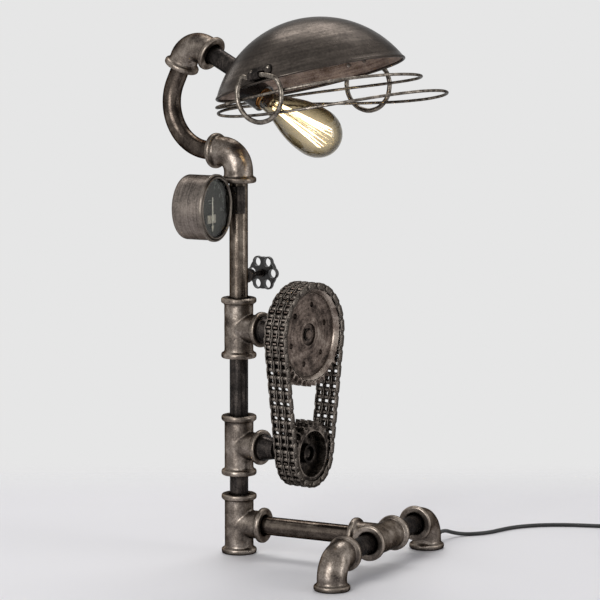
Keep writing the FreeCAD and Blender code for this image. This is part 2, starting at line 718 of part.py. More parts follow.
def sprocket(teeth, pitch_r, section):
    """Three toothed rows on a drum, less a turned section. Made along Z about its middle."""
    drum = rod(pitch_r - plate_high / 2 - 0.6, -drive_half, drive_half)
    row = toothed_disc(teeth, pitch_r)
    rows = [put(row, Placement(Vector(0, 0, k * strand_step - tooth_thick / 2), Rotation()))
            for k in (-1, 0, 1)]
    return drum.multiFuse(rows).cut(section)


def on_drive(shape, height, up=Z):
    """A piece made along Z about the chain's middle plane, put on an axle."""
    return put(shape, along(X, Vector(drive_out, 0, height), up))


front = drive_half
hub_bore = axle_r + running_gap
big_section = turned([(14, front + 1), (53.5, front + 1), (52, front), (51, front - 7),
                      (44, front - 8.5), (30, front - 8), (14, front - 6.5)])
big_hub_front = front - 8.5
hub_face = turned([(0, front + 1), (14, front + 1), (14, big_hub_front), (0, big_hub_front)])
big_back = turned([(16, -front - 1), (52, -front - 1), (52, -front + 9), (16, -front + 9)])
lightening = [hub_face, big_back, rod(hub_bore, -30, 30)]
for i in range(big_holes):
    angle = 2 * math.pi * i / big_holes + math.radians(big_hole_turn)
    spot = Vector(math.cos(angle), math.sin(angle), 0) * big_hole_ring_r
    lightening.append(put(rod(big_hole_r, -30, 30), Placement(spot, Rotation())))
big_cut = big_section.multiFuse(lightening)
save("big_sprocket", on_drive(sprocket(big_teeth, big_pitch_r, big_cut), mid_tee_z))

small_hub_front = front - 5
small_recess = 6.0
small_section = turned([(12, front + 1), (29.5, front + 1), (28.5, front), (28, front - 12),
                        (12, front - 12)])
small_cuts = [turned([(0, front + 1), (12, front + 1), (12, small_hub_front), (0, small_hub_front)]),
              rod(9, small_hub_front - small_recess, small_hub_front + 1),
              turned([(14, -front - 1), (28, -front - 1), (28, -front + 6), (14, -front + 6)]),
              rod(hub_bore, -30, 30),
              put(rod(2, -30, 30), Placement(Vector(-19, 9, 0), Rotation()))]
small_cut = small_section.multiFuse(small_cuts)
save("small_sprocket", on_drive(sprocket(small_teeth, small_pitch_r, small_cut), low_tee_z, Z * -1))

# Axles in reducing bushes screwed into the tees' branches
clip_thick = 1.2
clip_groove_r = axle_r - 0.8
clips = []
axles = (("big", mid_tee_z, big_hub_front), ("small", low_tee_z, small_hub_front - small_recess))
bush_end = fitting_reach + 20
bush_r = 17.0
shoulder_r = axle_r + 3.5
for name, height, hub_end in axles:
    bush = turned([(axle_r + 2, seat_end), (pipe_r, seat_end), (pipe_r, fitting_reach),
                   (bush_r, fitting_reach), (bush_r, fitting_reach + 2), (bush_r - 1.5, fitting_reach + 4),
                   (bush_r - 4.5, bush_end), (axle_r + 2, bush_end)])
    save("axle_bush_" + name, put(bush, along(X, Vector(0, 0, height), Z)))
    hub_start = drive_out - drive_half
    shoulder = hub_start - swivel_gap
    clip_at = drive_out + hub_end + swivel_gap
    end = clip_at + clip_thick + 1.5
    axle = turned([(0, seat_end), (axle_r + 2, seat_end), (axle_r + 2, bush_end),
                   (shoulder_r, bush_end), (shoulder_r, shoulder), (axle_r, shoulder),
                   (axle_r, clip_at), (clip_groove_r, clip_at), (clip_groove_r, clip_at + clip_thick),
                   (axle_r, clip_at + clip_thick), (axle_r, end - 0.8), (axle_r - 0.8, end), (0, end)])
    save("axle_" + name, put(axle, along(X, Vector(0, 0, height), Z)))
    clip = sleeve(axle_r + 2, clip_groove_r, clip_at, clip_at + clip_thick)
    clip = clip.cut(Part.makeBox(20, 5, 10, Vector(0, -2.5, clip_at - 2)))
    clips.append(put(clip, along(X, Vector(0, 0, height), Z)))
save("retaining_clips", Part.makeCompound(clips))


# Chain
def chain_joint(index):
    """Centre of one chain joint as (sideways, height above the small wheel)."""
    step = index % chain_links
    mirror = 1
    if step > chain_links / 2:
        step = chain_links - step
        mirror = -1
    if step <= over:
        angle = math.pi / 2 - 2 * math.pi * step / big_teeth
        place = (big_pitch_r * math.cos(angle), axle_distance + big_pitch_r * math.sin(angle))
    elif step <= over + run:
        travel = (step - over) * chain_pitch
        start = (big_pitch_r * math.cos(lean), axle_distance - big_pitch_r * math.sin(lean))
        place = (start[0] - travel * math.sin(lean), start[1] - travel * math.cos(lean))
    else:
        angle = -lean - 2 * math.pi * (step - over - run) / small_teeth
        place = (small_pitch_r * math.cos(angle), small_pitch_r * math.sin(angle))
    return mirror * place[0], place[1]


def link_plate(middle, thick):
    """Waisted plate between two joints on local X, centred on a height along Z."""
    half = chain_pitch / 2
    end_r = plate_high / 2
    waist = plate_waist / 2
    reach = half + end_r * math.cos(math.radians(110))
    side = end_r * math.sin(math.radians(110))
    corners = [Vector(-reach, side, 0), Vector(reach, side, 0), Vector(reach, -side, 0),
               Vector(-reach, -side, 0)]
    edges = [Part.Arc(corners[0], Vector(0, waist, 0), corners[1]).toShape(),
             Part.Arc(corners[1], Vector(half + end_r, 0, 0), corners[2]).toShape(),
             Part.Arc(corners[2], Vector(0, -waist, 0), corners[3]).toShape(),
             Part.Arc(corners[3], Vector(-half - end_r, 0, 0), corners[0]).toShape()]
    face = Part.Face(Part.Wire(edges))
    face.translate(Vector(0, 0, middle - thick / 2))
    return face.extrude(Vector(0, 0, thick))


def at_joints(radius, start, end):
    """A pair of round bars on a link's two joints."""
    return [Part.makeCylinder(radius, end - start, Vector(side * chain_pitch / 2, 0, start))
            for side in (-1, 1)]


inner_at = roller_len / 2 + inner_plate / 2
strand_link = link_plate(-inner_at, inner_plate).multiFuse(
    [link_plate(inner_at, inner_plate)] + at_joints(roller_r, -roller_len / 2, roller_len / 2))
bores = at_joints(pin_r + pin_gap, -10, 10)
strand_link = strand_link.cut(bores[0].fuse(bores[1]))
outer_at = strand_step + inner_at + inner_plate / 2 + 0.3 + outer_plate / 2
pin_end = outer_at + outer_plate / 2 + 0.6
outer_link = link_plate(-outer_at, outer_plate).multiFuse(
    [link_plate(outer_at, outer_plate), link_plate(-strand_step / 2, outer_plate),
     link_plate(strand_step / 2, outer_plate)] + at_joints(pin_r, -pin_end, pin_end))
inner_links = []
outer_links = []
for i in range(chain_links):
    s0, z0 = chain_joint(i)
    s1, z1 = chain_joint(i + 1)
    middle = Vector(drive_out, (s0 + s1) / 2, low_tee_z + (z0 + z1) / 2)
    heading = Vector(0, s1 - s0, z1 - z0).normalize()
    frame = along(X, middle, heading)
    if i % 2:
        outer_links.append(put(outer_link, frame))
        continue
    for k in (-1, 0, 1):
        strand = put(strand_link, Placement(Vector(0, 0, k * strand_step), Rotation()))
        inner_links.append(put(strand, frame))
save("chain_inner_links", Part.makeCompound(inner_links))
save("chain_outer_links", Part.makeCompound(outer_links))

# Cord: strain relief in the far foot, a free stretch, a wound coil and a plug
exit_way = Rotation(Z, base_turn).multVec(Y)
leg_axis = in_base(base_reach, foot_y, gland_z)
relief = turned([(cord_r, gland_seat - 5), (gland_hole_r, gland_seat - 5),
                 (gland_hole_r, fitting_r + 0.3), (gland_r, fitting_r + 0.3),
                 (gland_r, fitting_r + 3), (gland_hole_r, fitting_r + 4),
                 (cord_r + 0.9, fitting_r + gland_len), (cord_r, fitting_r + gland_len)])
save("cord_relief", put(relief, along(exit_way, leg_axis)))
cord_exit = leg_axis + exit_way * (fitting_r + gland_len)

coil_out_r = coil_in_r + coil_step * coil_turns


def coil_place(turn):
    """Point of the coil after a number of turns: in on the floor, up a layer, out again."""
    inward = turn <= coil_turns
    radius = coil_out_r - coil_step * turn if inward else coil_in_r + coil_step * (turn - coil_turns)
    climb = min(1.0, max(0.0, (turn - coil_turns + 0.25) / 0.5))
    height = cord_r + coil_step * climb * climb * (3 - 2 * climb)
    angle = math.radians(coil_start_angle) + coil_sense * 2 * math.pi * turn
    return coil_centre + Vector(radius * math.cos(angle), radius * math.sin(angle), height)


def coil_heading(turn):
    """Direction of travel along the coil."""
    small = 1e-4
    return (coil_place(turn + small) - coil_place(turn - small)).normalize()


def arc_through(start, corner, end):
    """Arc tangent to the two equal legs start-corner and corner-end."""
    half_turn = (corner - start).getAngle(end - corner) / 2
    chord_mid = (start + end) * 0.5
    bulge = math.cos(half_turn) / (1 + math.cos(half_turn))
    return Part.Arc(start, chord_mid + (corner - chord_mid) * bulge, end).toShape()


def biarc(start, heading, end, end_heading):
    """Two arcs from one point and heading to another."""
    chord = end - start
    both = heading + end_heading
    spread = 2 * (1 - heading.dot(end_heading))
    reach = (math.sqrt(chord.dot(both) ** 2 + spread * chord.dot(chord)) - chord.dot(both)) / spread
    first = start + heading * reach
    second = end - end_heading * reach
    joint = (first + second) * 0.5
    return [arc_through(start, first, joint), arc_through(joint, second, end)]


quarter_turns = int(round(2 * coil_turns * 4))
coil_edges = []
coil_start = coil_place(0) - coil_heading(0.0001) * (2 * cord_r)
coil_edges.append(Part.LineSegment(coil_start, coil_place(0)).toShape())
knots = [(coil_place(q / 4), coil_heading(q / 4)) for q in range(1, quarter_turns)]
flat_start = coil_heading(0.0001)
knots = [(coil_place(0), flat_start)] + knots
knots.append((coil_place(quarter_turns / 4), coil_heading(quarter_turns / 4 - 0.0001)))
for (start, heading), (end, end_heading) in zip(knots, knots[1:]):
    coil_edges += biarc(start, heading, end, end_heading)
coil_end = knots[-1][0] + knots[-1][1] * (2 * cord_r)
coil_edges.append(Part.LineSegment(knots[-1][0], coil_end).toShape())
save("cord_coil", swept(coil_edges, cord_r))
coil_length = sum(edge.Length for edge in coil_edges)

# The free stretch goes down to the floor, bends past the foot and runs out to the coil
free_points = [cord_exit, cord_exit + exit_way * 14,
               Vector(171, 231, 6.5), Vector(178, 247, cord_r), Vector(191, 260, cord_r),
               Vector(200, 278, cord_r), Vector(203, 300, cord_r), Vector(209, 324, cord_r),
               Vector(222, 346, cord_r), Vector(241, 365, cord_r), Vector(266, 381, cord_r),
               Vector(296, 394, cord_r), coil_start - flat_start * 27, coil_start]
free_edges, free_radii = rounded_route(free_points)
save("cord", swept(free_edges, cord_r))
free_length = sum(edge.Length for edge in free_edges)

# The tail comes off the coil's top layer, dips to the floor and ends in the plug
tail_way = knots[-1][1]
tail_side = Vector(tail_way.y, -tail_way.x, 0)
tail_offsets = ((0, 0, 0), (14, 0, 0), (30, 2, -2.6), (47, 6, -5.2), (64, 13, -4.2), (79, 22, -1.5),
                (92, 33, -1.5))
tail_points = [coil_end + tail_way * ahead + tail_side * aside + Z * up
               for ahead, aside, up in tail_offsets]
tail_edges, tail_radii = rounded_route(tail_points)
save("cord_tail", swept(tail_edges, cord_r))
tail_length = sum(edge.Length for edge in tail_edges)

plug_way = (tail_points[-1] - tail_points[-2]).normalize()
plug_at = tail_points[-1]
body = Part.makeBox(plug_high, plug_wide, plug_len, Vector(-plug_high / 2, -plug_wide / 2, 0))
body = body.makeFillet(plug_round, [edge for edge in body.Edges if abs(edge.tangentAt(0).z) > 0.9])
save("plug_body", put(body, along(plug_way, plug_at, Z)))
pins = [put(put(rod(pin_wire_r, plug_len, plug_len + pin_len),
                Placement(Vector(0, side * pin_side, 0), Rotation())),
            along(plug_way, plug_at, Z)) for side in (-1, 1)]
save("plug_pins", Part.makeCompound(pins))


def least_gap():
    """Least gap between the coil's turns, from points along its edges."""
    travelled = 0.0
    samples = []
    for edge in coil_edges:
        for k in range(6):
            share = edge.FirstParameter + (edge.LastParameter - edge.FirstParameter) * k / 6
            samples.append((travelled + edge.Length * k / 6, edge.valueAt(share)))
        travelled += edge.Length
    shortest_turn = 2 * math.pi * coil_in_r
    gaps = []
    for i, (at, place) in enumerate(samples):
        for other_at, other in samples[i + 1:]:
            if other_at - at > 0.6 * shortest_turn:
                gaps.append((place - other).Length)
    return min(gaps) - 2 * cord_r


print("axle distance", round(axle_distance, 3), "mid tee at", round(mid_tee_z, 2))
print("head elbow", head_elbow_centre, "shade centre", shade_centre, "rim centre", rim_centre, rim_r)
print("cord free", round(free_length, 1), "coil", round(coil_length, 1), "tail", round(tail_length, 1))
print("cord radii", [round(radius, 1) for radius in free_radii + tail_radii])
print("coil's least gap to itself", round(least_gap(), 2))
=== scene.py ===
"""Looks of an industrial pipe table lamp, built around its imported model.

The frame is the model's own, in metres. Sizes are in millimetres unless a name says otherwise.
"""

import json
import logging
import math
from dataclasses import dataclass
from enum import Enum
from functools import cache

import bmesh
import bpy
from mathutils import Euler, Matrix, Vector, noise

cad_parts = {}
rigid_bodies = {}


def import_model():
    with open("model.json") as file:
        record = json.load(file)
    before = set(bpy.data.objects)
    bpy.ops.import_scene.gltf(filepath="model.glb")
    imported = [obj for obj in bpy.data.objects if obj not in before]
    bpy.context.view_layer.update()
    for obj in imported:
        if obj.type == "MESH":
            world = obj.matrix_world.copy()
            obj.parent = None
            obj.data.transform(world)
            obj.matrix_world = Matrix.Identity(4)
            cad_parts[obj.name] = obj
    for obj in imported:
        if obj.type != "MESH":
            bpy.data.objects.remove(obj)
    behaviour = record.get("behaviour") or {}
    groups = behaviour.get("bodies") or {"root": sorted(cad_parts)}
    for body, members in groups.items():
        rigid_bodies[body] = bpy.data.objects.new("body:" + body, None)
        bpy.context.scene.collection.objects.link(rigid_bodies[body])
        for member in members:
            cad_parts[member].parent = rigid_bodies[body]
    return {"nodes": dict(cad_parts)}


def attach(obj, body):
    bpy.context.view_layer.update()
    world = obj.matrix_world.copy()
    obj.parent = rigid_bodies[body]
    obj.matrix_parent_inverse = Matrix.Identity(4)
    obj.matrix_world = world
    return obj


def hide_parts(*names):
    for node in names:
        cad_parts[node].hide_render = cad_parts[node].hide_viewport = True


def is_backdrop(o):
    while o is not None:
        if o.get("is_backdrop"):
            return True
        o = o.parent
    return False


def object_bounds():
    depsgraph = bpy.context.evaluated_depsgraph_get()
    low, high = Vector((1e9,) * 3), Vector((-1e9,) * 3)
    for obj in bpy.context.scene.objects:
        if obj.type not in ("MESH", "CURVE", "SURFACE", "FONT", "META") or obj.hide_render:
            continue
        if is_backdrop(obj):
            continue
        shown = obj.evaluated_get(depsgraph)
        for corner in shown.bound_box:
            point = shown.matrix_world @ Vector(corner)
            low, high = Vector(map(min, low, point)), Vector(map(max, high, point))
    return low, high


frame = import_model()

LOG = logging.getLogger("pipe_lamp")
MODEL_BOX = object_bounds()
MM = 0.001
X = Vector((1, 0, 0))
Y = Vector((0, 1, 0))
Z = Vector((0, 0, 1))

# The shade's nipple leans by 26 degrees, the bowl by 15.5, the foot is turned by 8 and the gauge by 9
LEAN = math.radians(26)
LEAN_OUT = Vector((math.cos(LEAN), 0, -math.sin(LEAN)))
LEAN_UP = Vector((math.sin(LEAN), 0, math.cos(LEAN)))
HEAD_CENTRE = Vector((-72.705, 0, 641.256))
SHADE_TILT = 15.5
BASE_TURN = Matrix.Rotation(math.radians(8), 3, "Z")
BASE_REACH = 198.0
FOOT_ASIDE = 134.0
LEAD_EXIT = BASE_TURN @ Vector((BASE_REACH, FOOT_ASIDE, 12.6))
GAUGE_TURN = 9.0
LOWER_AXLE = 138.0
AXLE_DISTANCE = 148.272
UPPER_AXLE = LOWER_AXLE + AXLE_DISTANCE


class Slot(Enum):
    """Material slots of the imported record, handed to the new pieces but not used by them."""

    FITTING = "cast_fitting"
    SHADE = "shade_steel"
    FILAMENT = "filament"
    DIAL = "dial_paint"
    NEEDLE = "needle_paint"
    CASE = "gauge_steel"
    SPROCKET = "sprocket_steel"
    CHAIN = "chain_steel"
    CORD = "cord_rubber"
    PLUG = "plug_plastic"
    PINS = "lamp_brass"


class Body(Enum):
    """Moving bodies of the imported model."""

    STAND = "stand"
    ARM = "arm"
    HEAD = "head"
    NEEDLE = "needle"
    DRIVE = "drive_wheel"
    DRIVEN = "driven_wheel"


def linear(colour: str) -> tuple[float, float, float, float]:
    """Turn an sRGB hex colour to linear.

    Args:
        colour: six hex digits.

    Returns:
        Linear red, green, blue and an alpha of 1.
    """
    channels = [int(colour[i:i + 2], 16) / 255 for i in (0, 2, 4)]
    levels = [c / 12.92 if c <= 0.04045 else ((c + 0.055) / 1.055) ** 2.4 for c in channels]
    return (levels[0], levels[1], levels[2], 1.0)


def set_inputs(
    tree: bpy.types.NodeTree, node: bpy.types.Node, values: dict | None = None, links: dict | None = None
) -> None:
    """Give a node's inputs their values and links.

    Args:
        tree: node tree that holds the node.
        node: the node.
        values: default values by input name or index.
        links: output sockets, or nodes whose first output is meant, by input name or index.
    """
    for name, value in (values or {}).items():
        node.inputs[name].default_value = value
    for name, source in (links or {}).items():
        socket = source if isinstance(source, bpy.types.NodeSocket) else source.outputs[0]
        tree.links.new(socket, node.inputs[name])


def add_node(
    tree: bpy.types.NodeTree,
    kind: str,
    values: dict | None = None,
    links: dict | None = None,
    stops: tuple = (),
    **settings: object,
) -> bpy.types.Node:
    """Add a node with its settings, values and links.

    Args:
        tree: node tree that gets the node.
        kind: shader node type's name after ShaderNode.
        values: default values, as in set_inputs.
        links: links, as in set_inputs.
        stops: position and hex colour pairs of a colour ramp.
        settings: the node's own properties.

    Returns:
        The new node.
    """
    node = tree.nodes.new("ShaderNode" + kind)
    for name, value in settings.items():
        setattr(node, name, value)
    set_inputs(tree, node, values, links)
    for index, (position, colour) in enumerate(stops):
        elements = node.color_ramp.elements
        stop = elements[index] if index < 2 else elements.new(position)
        stop.position = position
        stop.color = linear(colour)
    return node


def blank_material(name: str) -> tuple[bpy.types.Material, bpy.types.NodeTree, bpy.types.Node]:
    """Make a material that holds only its shader.

    Args:
        name: the material's name.

    Returns:
        The material, its tree and its shader.
    """
    material = bpy.data.materials.new(name)
    material.use_nodes = True
    tree = material.node_tree
    tree.nodes.clear()
    shader = add_node(tree, "BsdfPrincipled")
    add_node(tree, "OutputMaterial", links={"Surface": shader})
    return material, tree, shader


@dataclass(frozen=True)
class RubbedMetal:
    """Iron or steel with a dark patina, where chosen lighter on what stands out: part wear, part painted
    highlight.

    Broad patches of patina, streaks of rubbing and a fine grain add up to the tone, from about 0.4,
    dark, to 0.6, light. Painted shade darkens the crevices: a dark colour mixed in where ambient occlusion is
    low.
    """

    name: str
    dark: str
    mid: str
    light: str
    smooth: float = 0.3
    rough: float = 0.5
    metallic: float = 0.9
    edge_tint: float = 0.45
    patch_mm: float = 16.0
    patch_share: float = 0.45
    streak_mm: tuple[float, float, float] = (4.0, 4.0, 60.0)
    streak_share: float = 0.3
    grain_mm: float = 1.8
    grain_share: float = 0.25
    relief_mm: float = 0.12
    crevice_mm: float = 9.0
    # Pointiness lightens convex edges: part wear, part painted highlight
    rubbed_edges: bool = False
    rub_from: float = 0.512
    rub_to: float = 0.56
    ring_mm: float = 0.0
    ring_share: float = 0.07
    # Radii of the pale ring of painted highlight on a turned face
    bright_from_mm: float = 0.0
    bright_to_mm: float = 0.0
    hub_mm: float = 13.0
    turn: tuple[float, float, float] = (0.0, 0.0, 0.0)
    centre: tuple[float, float, float] = (0.0, 0.0, 0.0)
    # Colour of the painted shade mixed into the crevices
    grime: str = "14110f"
    # Colour of the convex edges: part wear, part painted highlight
    polish: str = "b3a698"

    @cache
    def material(self) -> bpy.types.Material:
        """Build the metal's nodes once.

        Returns:
            The material.
        """
        material, tree, shader = blank_material(self.name)
        place = add_node(tree, "TexCoord").outputs["Object"]
        along = add_node(
            tree, "Mapping",
            {
                "Location": [value * MM for value in self.centre],
                "Rotation": [math.radians(value) for value in self.turn],
                "Scale": [value * MM for value in self.streak_mm],
            },
            {"Vector": place}, vector_type="TEXTURE",
        )
        patches = add_node(
            tree, "TexNoise", {"Scale": 1 / (self.patch_mm * MM), "Detail": 6.0, "Roughness": 0.62},
            {"Vector": place},
        )
        streaks = add_node(tree, "TexNoise", {"Scale": 1.0, "Detail": 4.0}, {"Vector": along})
        grain = add_node(
            tree, "TexNoise", {"Scale": 1 / (self.grain_mm * MM), "Detail": 3.0}, {"Vector": place}
        )
        tone = add_node(tree, "Math", {1: self.grain_share}, {0: grain}, operation="MULTIPLY")
        for share, pattern in ((self.streak_share, streaks), (self.patch_share, patches)):
            tone = add_node(tree, "Math", {1: share}, {0: pattern, 2: tone}, operation="MULTIPLY_ADD")
        if self.ring_mm:
            tone = self.turned_marks(tree, place, tone)
        colour = add_node(
            tree, "ValToRGB", links={"Fac": tone},
            stops=((0.39, self.dark), (0.62, self.light), (0.5, self.mid)),
        ).outputs["Color"]
        covers = []
        # Convex edges lightened by pointiness: part wear, part painted highlight
        if self.rubbed_edges:
            point = add_node(tree, "NewGeometry").outputs["Pointiness"]
            edge_light_range = {"From Min": self.rub_from, "From Max": self.rub_to, "To Max": 0.85}
            covers.append((self.polish, add_node(tree, "MapRange", edge_light_range, {"Value": point})))
        # Painted shade: the dark colour is mixed in where ambient occlusion finds crevices
        open_air = add_node(tree, "AmbientOcclusion", {"Distance": self.crevice_mm * MM}, samples=6)
        shaded_range = {"From Min": 0.25, "From Max": 0.92, "To Min": 0.9, "To Max": 0.0}
        covers.append((self.grime, add_node(tree, "MapRange", shaded_range, {"Value": open_air.outputs["AO"]})))
        for cover, share in covers:
            colour = add_node(
                tree, "Mix", {7: linear(cover)}, {0: share, 6: colour}, data_type="RGBA"
            ).outputs[2]
        gloss = {"From Min": 0.4, "From Max": 0.6, "To Min": self.rough, "To Max": self.smooth}
        roughness = add_node(tree, "MapRange", gloss, {"Value": tone})
        relief = add_node(tree, "Bump", {"Strength": 0.6, "Distance": self.relief_mm * MM}, {"Height": tone})
        tint = self.edge_tint
        set_inputs(
            tree, shader, {"Metallic": self.metallic, "Specular Tint": (tint, tint, tint, 1.0)},
            {"Base Color": colour, "Roughness": roughness, "Normal": relief},
        )
        return material

    def turned_marks(
        self, tree: bpy.types.NodeTree, place: bpy.types.NodeSocket, tone: bpy.types.Node
    ) -> bpy.types.Node:
        """Add a lathe's rings about a level axle to the tone, a pale outer ring of painted highlight and a
        darker hub.

        Args:
            tree: the material's tree.
            place: object coordinates.
            tone: node that gives the tone.

        Returns:
            Node that gives the new tone.
        """
        about = add_node(
            tree, "Mapping", {"Location": [value * MM for value in self.centre]}, {"Vector": place},
            vector_type="TEXTURE",
        )
        # A scale of 0.31 gives the wave texture one ring a metre
        rings = add_node(
            tree, "TexWave",
            {"Scale": 0.31 / (self.ring_mm * MM), "Distortion": 3.0, "Detail": 3.0, "Detail Scale": 2.0},
            {"Vector": about}, wave_type="RINGS", rings_direction="X",
        )
        tone = add_node(
            tree, "Math", {1: self.ring_share}, {0: rings.outputs["Fac"], 2: tone}, operation="MULTIPLY_ADD"
        )
        flat = add_node(tree, "VectorMath", {1: (0, 1, 1)}, {0: about}, operation="MULTIPLY")
        away = add_node(tree, "VectorMath", links={0: flat}, operation="LENGTH")
        # A pale ring of painted highlight between the two radii, and a darker hub
        for start, inside, outside in (
            (self.bright_from_mm, -0.05, 0.07), (self.bright_to_mm, 0.0, -0.1), (self.hub_mm, -0.03, 0.0),
        ):
            band = add_node(
                tree, "MapRange",
                {"From Min": start * MM, "From Max": (start + 1.2) * MM, "To Min": inside, "To Max": outside},
                {"Value": away.outputs["Value"]},
            )
            tone = add_node(tree, "Math", links={0: tone, 1: band}, operation="ADD")
        return tone


@dataclass(frozen=True)
class Coat:
    """Paint, plastic, rubber or glaze: one colour, a little uneven, with its own gloss."""

    name: str
    colour: str
    spots: str
    roughness: float = 0.4
    patch_mm: float = 9.0
    grain_mm: float = 0.9
    relief_mm: float = 0.03
    glow: float = 0.0

    @cache
    def material(self) -> bpy.types.Material:
        """Build the coat's nodes once.

        Returns:
            The material.
        """
        material, tree, shader = blank_material(self.name)
        place = add_node(tree, "TexCoord").outputs["Object"]
        patches, grain = (
            add_node(tree, "TexNoise", {"Scale": 1 / (size * MM), "Detail": detail}, {"Vector": place})
            for size, detail in ((self.patch_mm, 5.0), (self.grain_mm, 2.0))
        )
        colour = add_node(
            tree, "ValToRGB", links={"Fac": patches}, stops=((0.45, self.colour), (0.68, self.spots))
        )
        low, high = self.roughness - 0.08, self.roughness + 0.08
        gloss = add_node(
            tree, "MapRange", {"From Min": 0.35, "From Max": 0.65, "To Min": low, "To Max": high},
            {"Value": patches},
        )
        relief = add_node(tree, "Bump", {"Strength": 0.5, "Distance": self.relief_mm * MM}, {"Height": grain})
        values = {"IOR": 1.5}
        if self.glow:
            values |= {"Emission Color": linear(self.spots), "Emission Strength": self.glow}
        set_inputs(tree, shader, values, {"Base Color": colour, "Roughness": gloss, "Normal": relief})
        return material


@dataclass(frozen=True)
class Glass:
    """Blown or flat glass: clear where it is seen straight through, tinted at its slanting sides."""

    name: str
    straight: str
    slanting: str
    roughness: float = 0.03
    ior: float = 1.5
    waves_a_metre: float = 60.0
    wave_mm: float = 0.4

    @cache
    def material(self) -> bpy.types.Material:
        """Build the glass's nodes once.

        Returns:
            The material.
        """
        material, tree, shader = blank_material(self.name)
        place = add_node(tree, "TexCoord").outputs["Object"]
        waves = add_node(tree, "TexNoise", {"Scale": self.waves_a_metre, "Detail": 2.0}, {"Vector": place})
        slant = add_node(tree, "LayerWeight", {"Blend": 0.45}).outputs["Facing"]
        uneven = add_node(tree, "Math", {1: 0.12}, {0: waves, 2: slant}, operation="MULTIPLY_ADD")
        colour = add_node(
            tree, "ValToRGB", links={"Fac": uneven}, stops=((0.1, self.straight), (0.56, self.slanting))
        )
        relief = add_node(tree, "Bump", {"Strength": 0.12, "Distance": self.wave_mm * MM}, {"Height": waves})
        set_inputs(
            tree, shader, {"Roughness": self.roughness, "IOR": self.ior, "Transmission Weight": 1.0},
            {"Base Color": colour, "Normal": relief},
        )
        return material


# Malleable iron, cast: patchy, its rounded rims lightened: part wear, part painted highlight
CAST_IRON = RubbedMetal(
    "malleable_iron", "3f3936", "70675f", "a1978e", smooth=0.27, rough=0.44, metallic=1.0, edge_tint=0.12,
    patch_mm=20.0, streak_mm=(14.0, 14.0, 14.0), relief_mm=0.09, rubbed_edges=True,
)
# Steel pipe, drawn: long pale rubbing marks up the column
COLUMN_STEEL = RubbedMetal(
    "drawn_steel_upright", "342e2a", "5b524a", "7f756b", smooth=0.2, rough=0.36, metallic=1.0, edge_tint=0.12,
    streak_mm=(4.0, 4.0, 120.0), relief_mm=0.06,
)
# The same pipe lying along the foot: a little darker, its marks turned with the foot
BASE_STEEL = RubbedMetal(
    "drawn_steel_level", "2c2724", "4d453f", "6f665d", smooth=0.18, rough=0.34, metallic=1.0, edge_tint=0.12,
    streak_mm=(90.0, 3.0, 3.0), relief_mm=0.06, turn=(0.0, 0.0, 8.0),
)
# The same pipe, bent: the marks break up into short smears round the bend
ARM_STEEL = RubbedMetal(
    "bent_steel", "2a2522", "4a423c", "6e645b", smooth=0.18, rough=0.34, metallic=1.0, edge_tint=0.12,
    streak_mm=(14.0, 5.0, 30.0), relief_mm=0.06,
)
# Steel, blackened in oil: nearly black, with a satin sheen
BLACK_STEEL = RubbedMetal(
    "oil_blackened_steel", "191716", "302c2a", "544d48", smooth=0.16, rough=0.36, metallic=0.85,
    edge_tint=0.3, streak_mm=(3.0, 3.0, 40.0), relief_mm=0.06,
)
# Sheet steel, spun and lacquered dark: faint rings round the bowl's axis in an even satin
SPUN_STEEL = RubbedMetal(
    "spun_steel", "332e2b", "47413c", "5d554f", smooth=0.25, rough=0.35, patch_mm=50.0,
    streak_mm=(90.0, 90.0, 3.0), grain_mm=3.0, relief_mm=0.015, turn=(0.0, -SHADE_TILT, 0.0),
)
# The bowl's inside, spun steel coloured a lighter pinkish brown: painted warm light of the lamp
LAMPLIT_INSIDE_STEEL = RubbedMetal(
    "painted_lamplight_steel", "57493f", "85746a", "a8978b", smooth=0.34, rough=0.5, metallic=0.7,
    patch_mm=24.0, streak_mm=(50.0, 50.0, 2.4), relief_mm=0.03, turn=(0.0, -SHADE_TILT, 0.0),
)
# Steel wire, drawn and rubbed clean: narrow bright lights on a grey line
WIRE_STEEL = RubbedMetal(
    "drawn_wire", "38332f", "6d665e", "a0978d", smooth=0.2, rough=0.36, patch_mm=8.0, edge_tint=0.25,
    streak_mm=(6.0, 6.0, 6.0), crevice_mm=4.0,
)
# Steel, turned: two pale beads, with painted shade darkening the groove between them
BEZEL_STEEL = RubbedMetal(
    "turned_bezel_steel", "57504a", "756d65", "8f877e", smooth=0.24, rough=0.34, patch_mm=22.0,
    streak_mm=(12.0, 12.0, 12.0), relief_mm=0.02, crevice_mm=2.4,
)
# Sheet steel, rolled to a drum: fine brushed lines round the case
DRUM_STEEL = RubbedMetal(
    "rolled_drum_steel", "4c4642", "776e67", "9a9088", smooth=0.26, rough=0.4, patch_mm=34.0,
    edge_tint=0.15, streak_mm=(2.2, 80.0, 80.0), relief_mm=0.03, turn=(0.0, 0.0, GAUGE_TURN),
)
# Steel, turned on a lathe: brown patina with faint rings, and a pale ring of painted highlight at the rim.
# Real tool marks are finer
BIG_SPROCKET_STEEL = RubbedMetal(
    "turned_sprocket_steel", "352e2a", "72655d", "b0a499", smooth=0.26, rough=0.46, patch_mm=20.0,
    ring_share=0.035, streak_mm=(20.0, 14.0, 14.0), grain_mm=1.6, relief_mm=0.14, crevice_mm=6.0,
    ring_mm=6.0, bright_from_mm=50.3, bright_to_mm=56.6, centre=(0.0, 0.0, UPPER_AXLE),
)
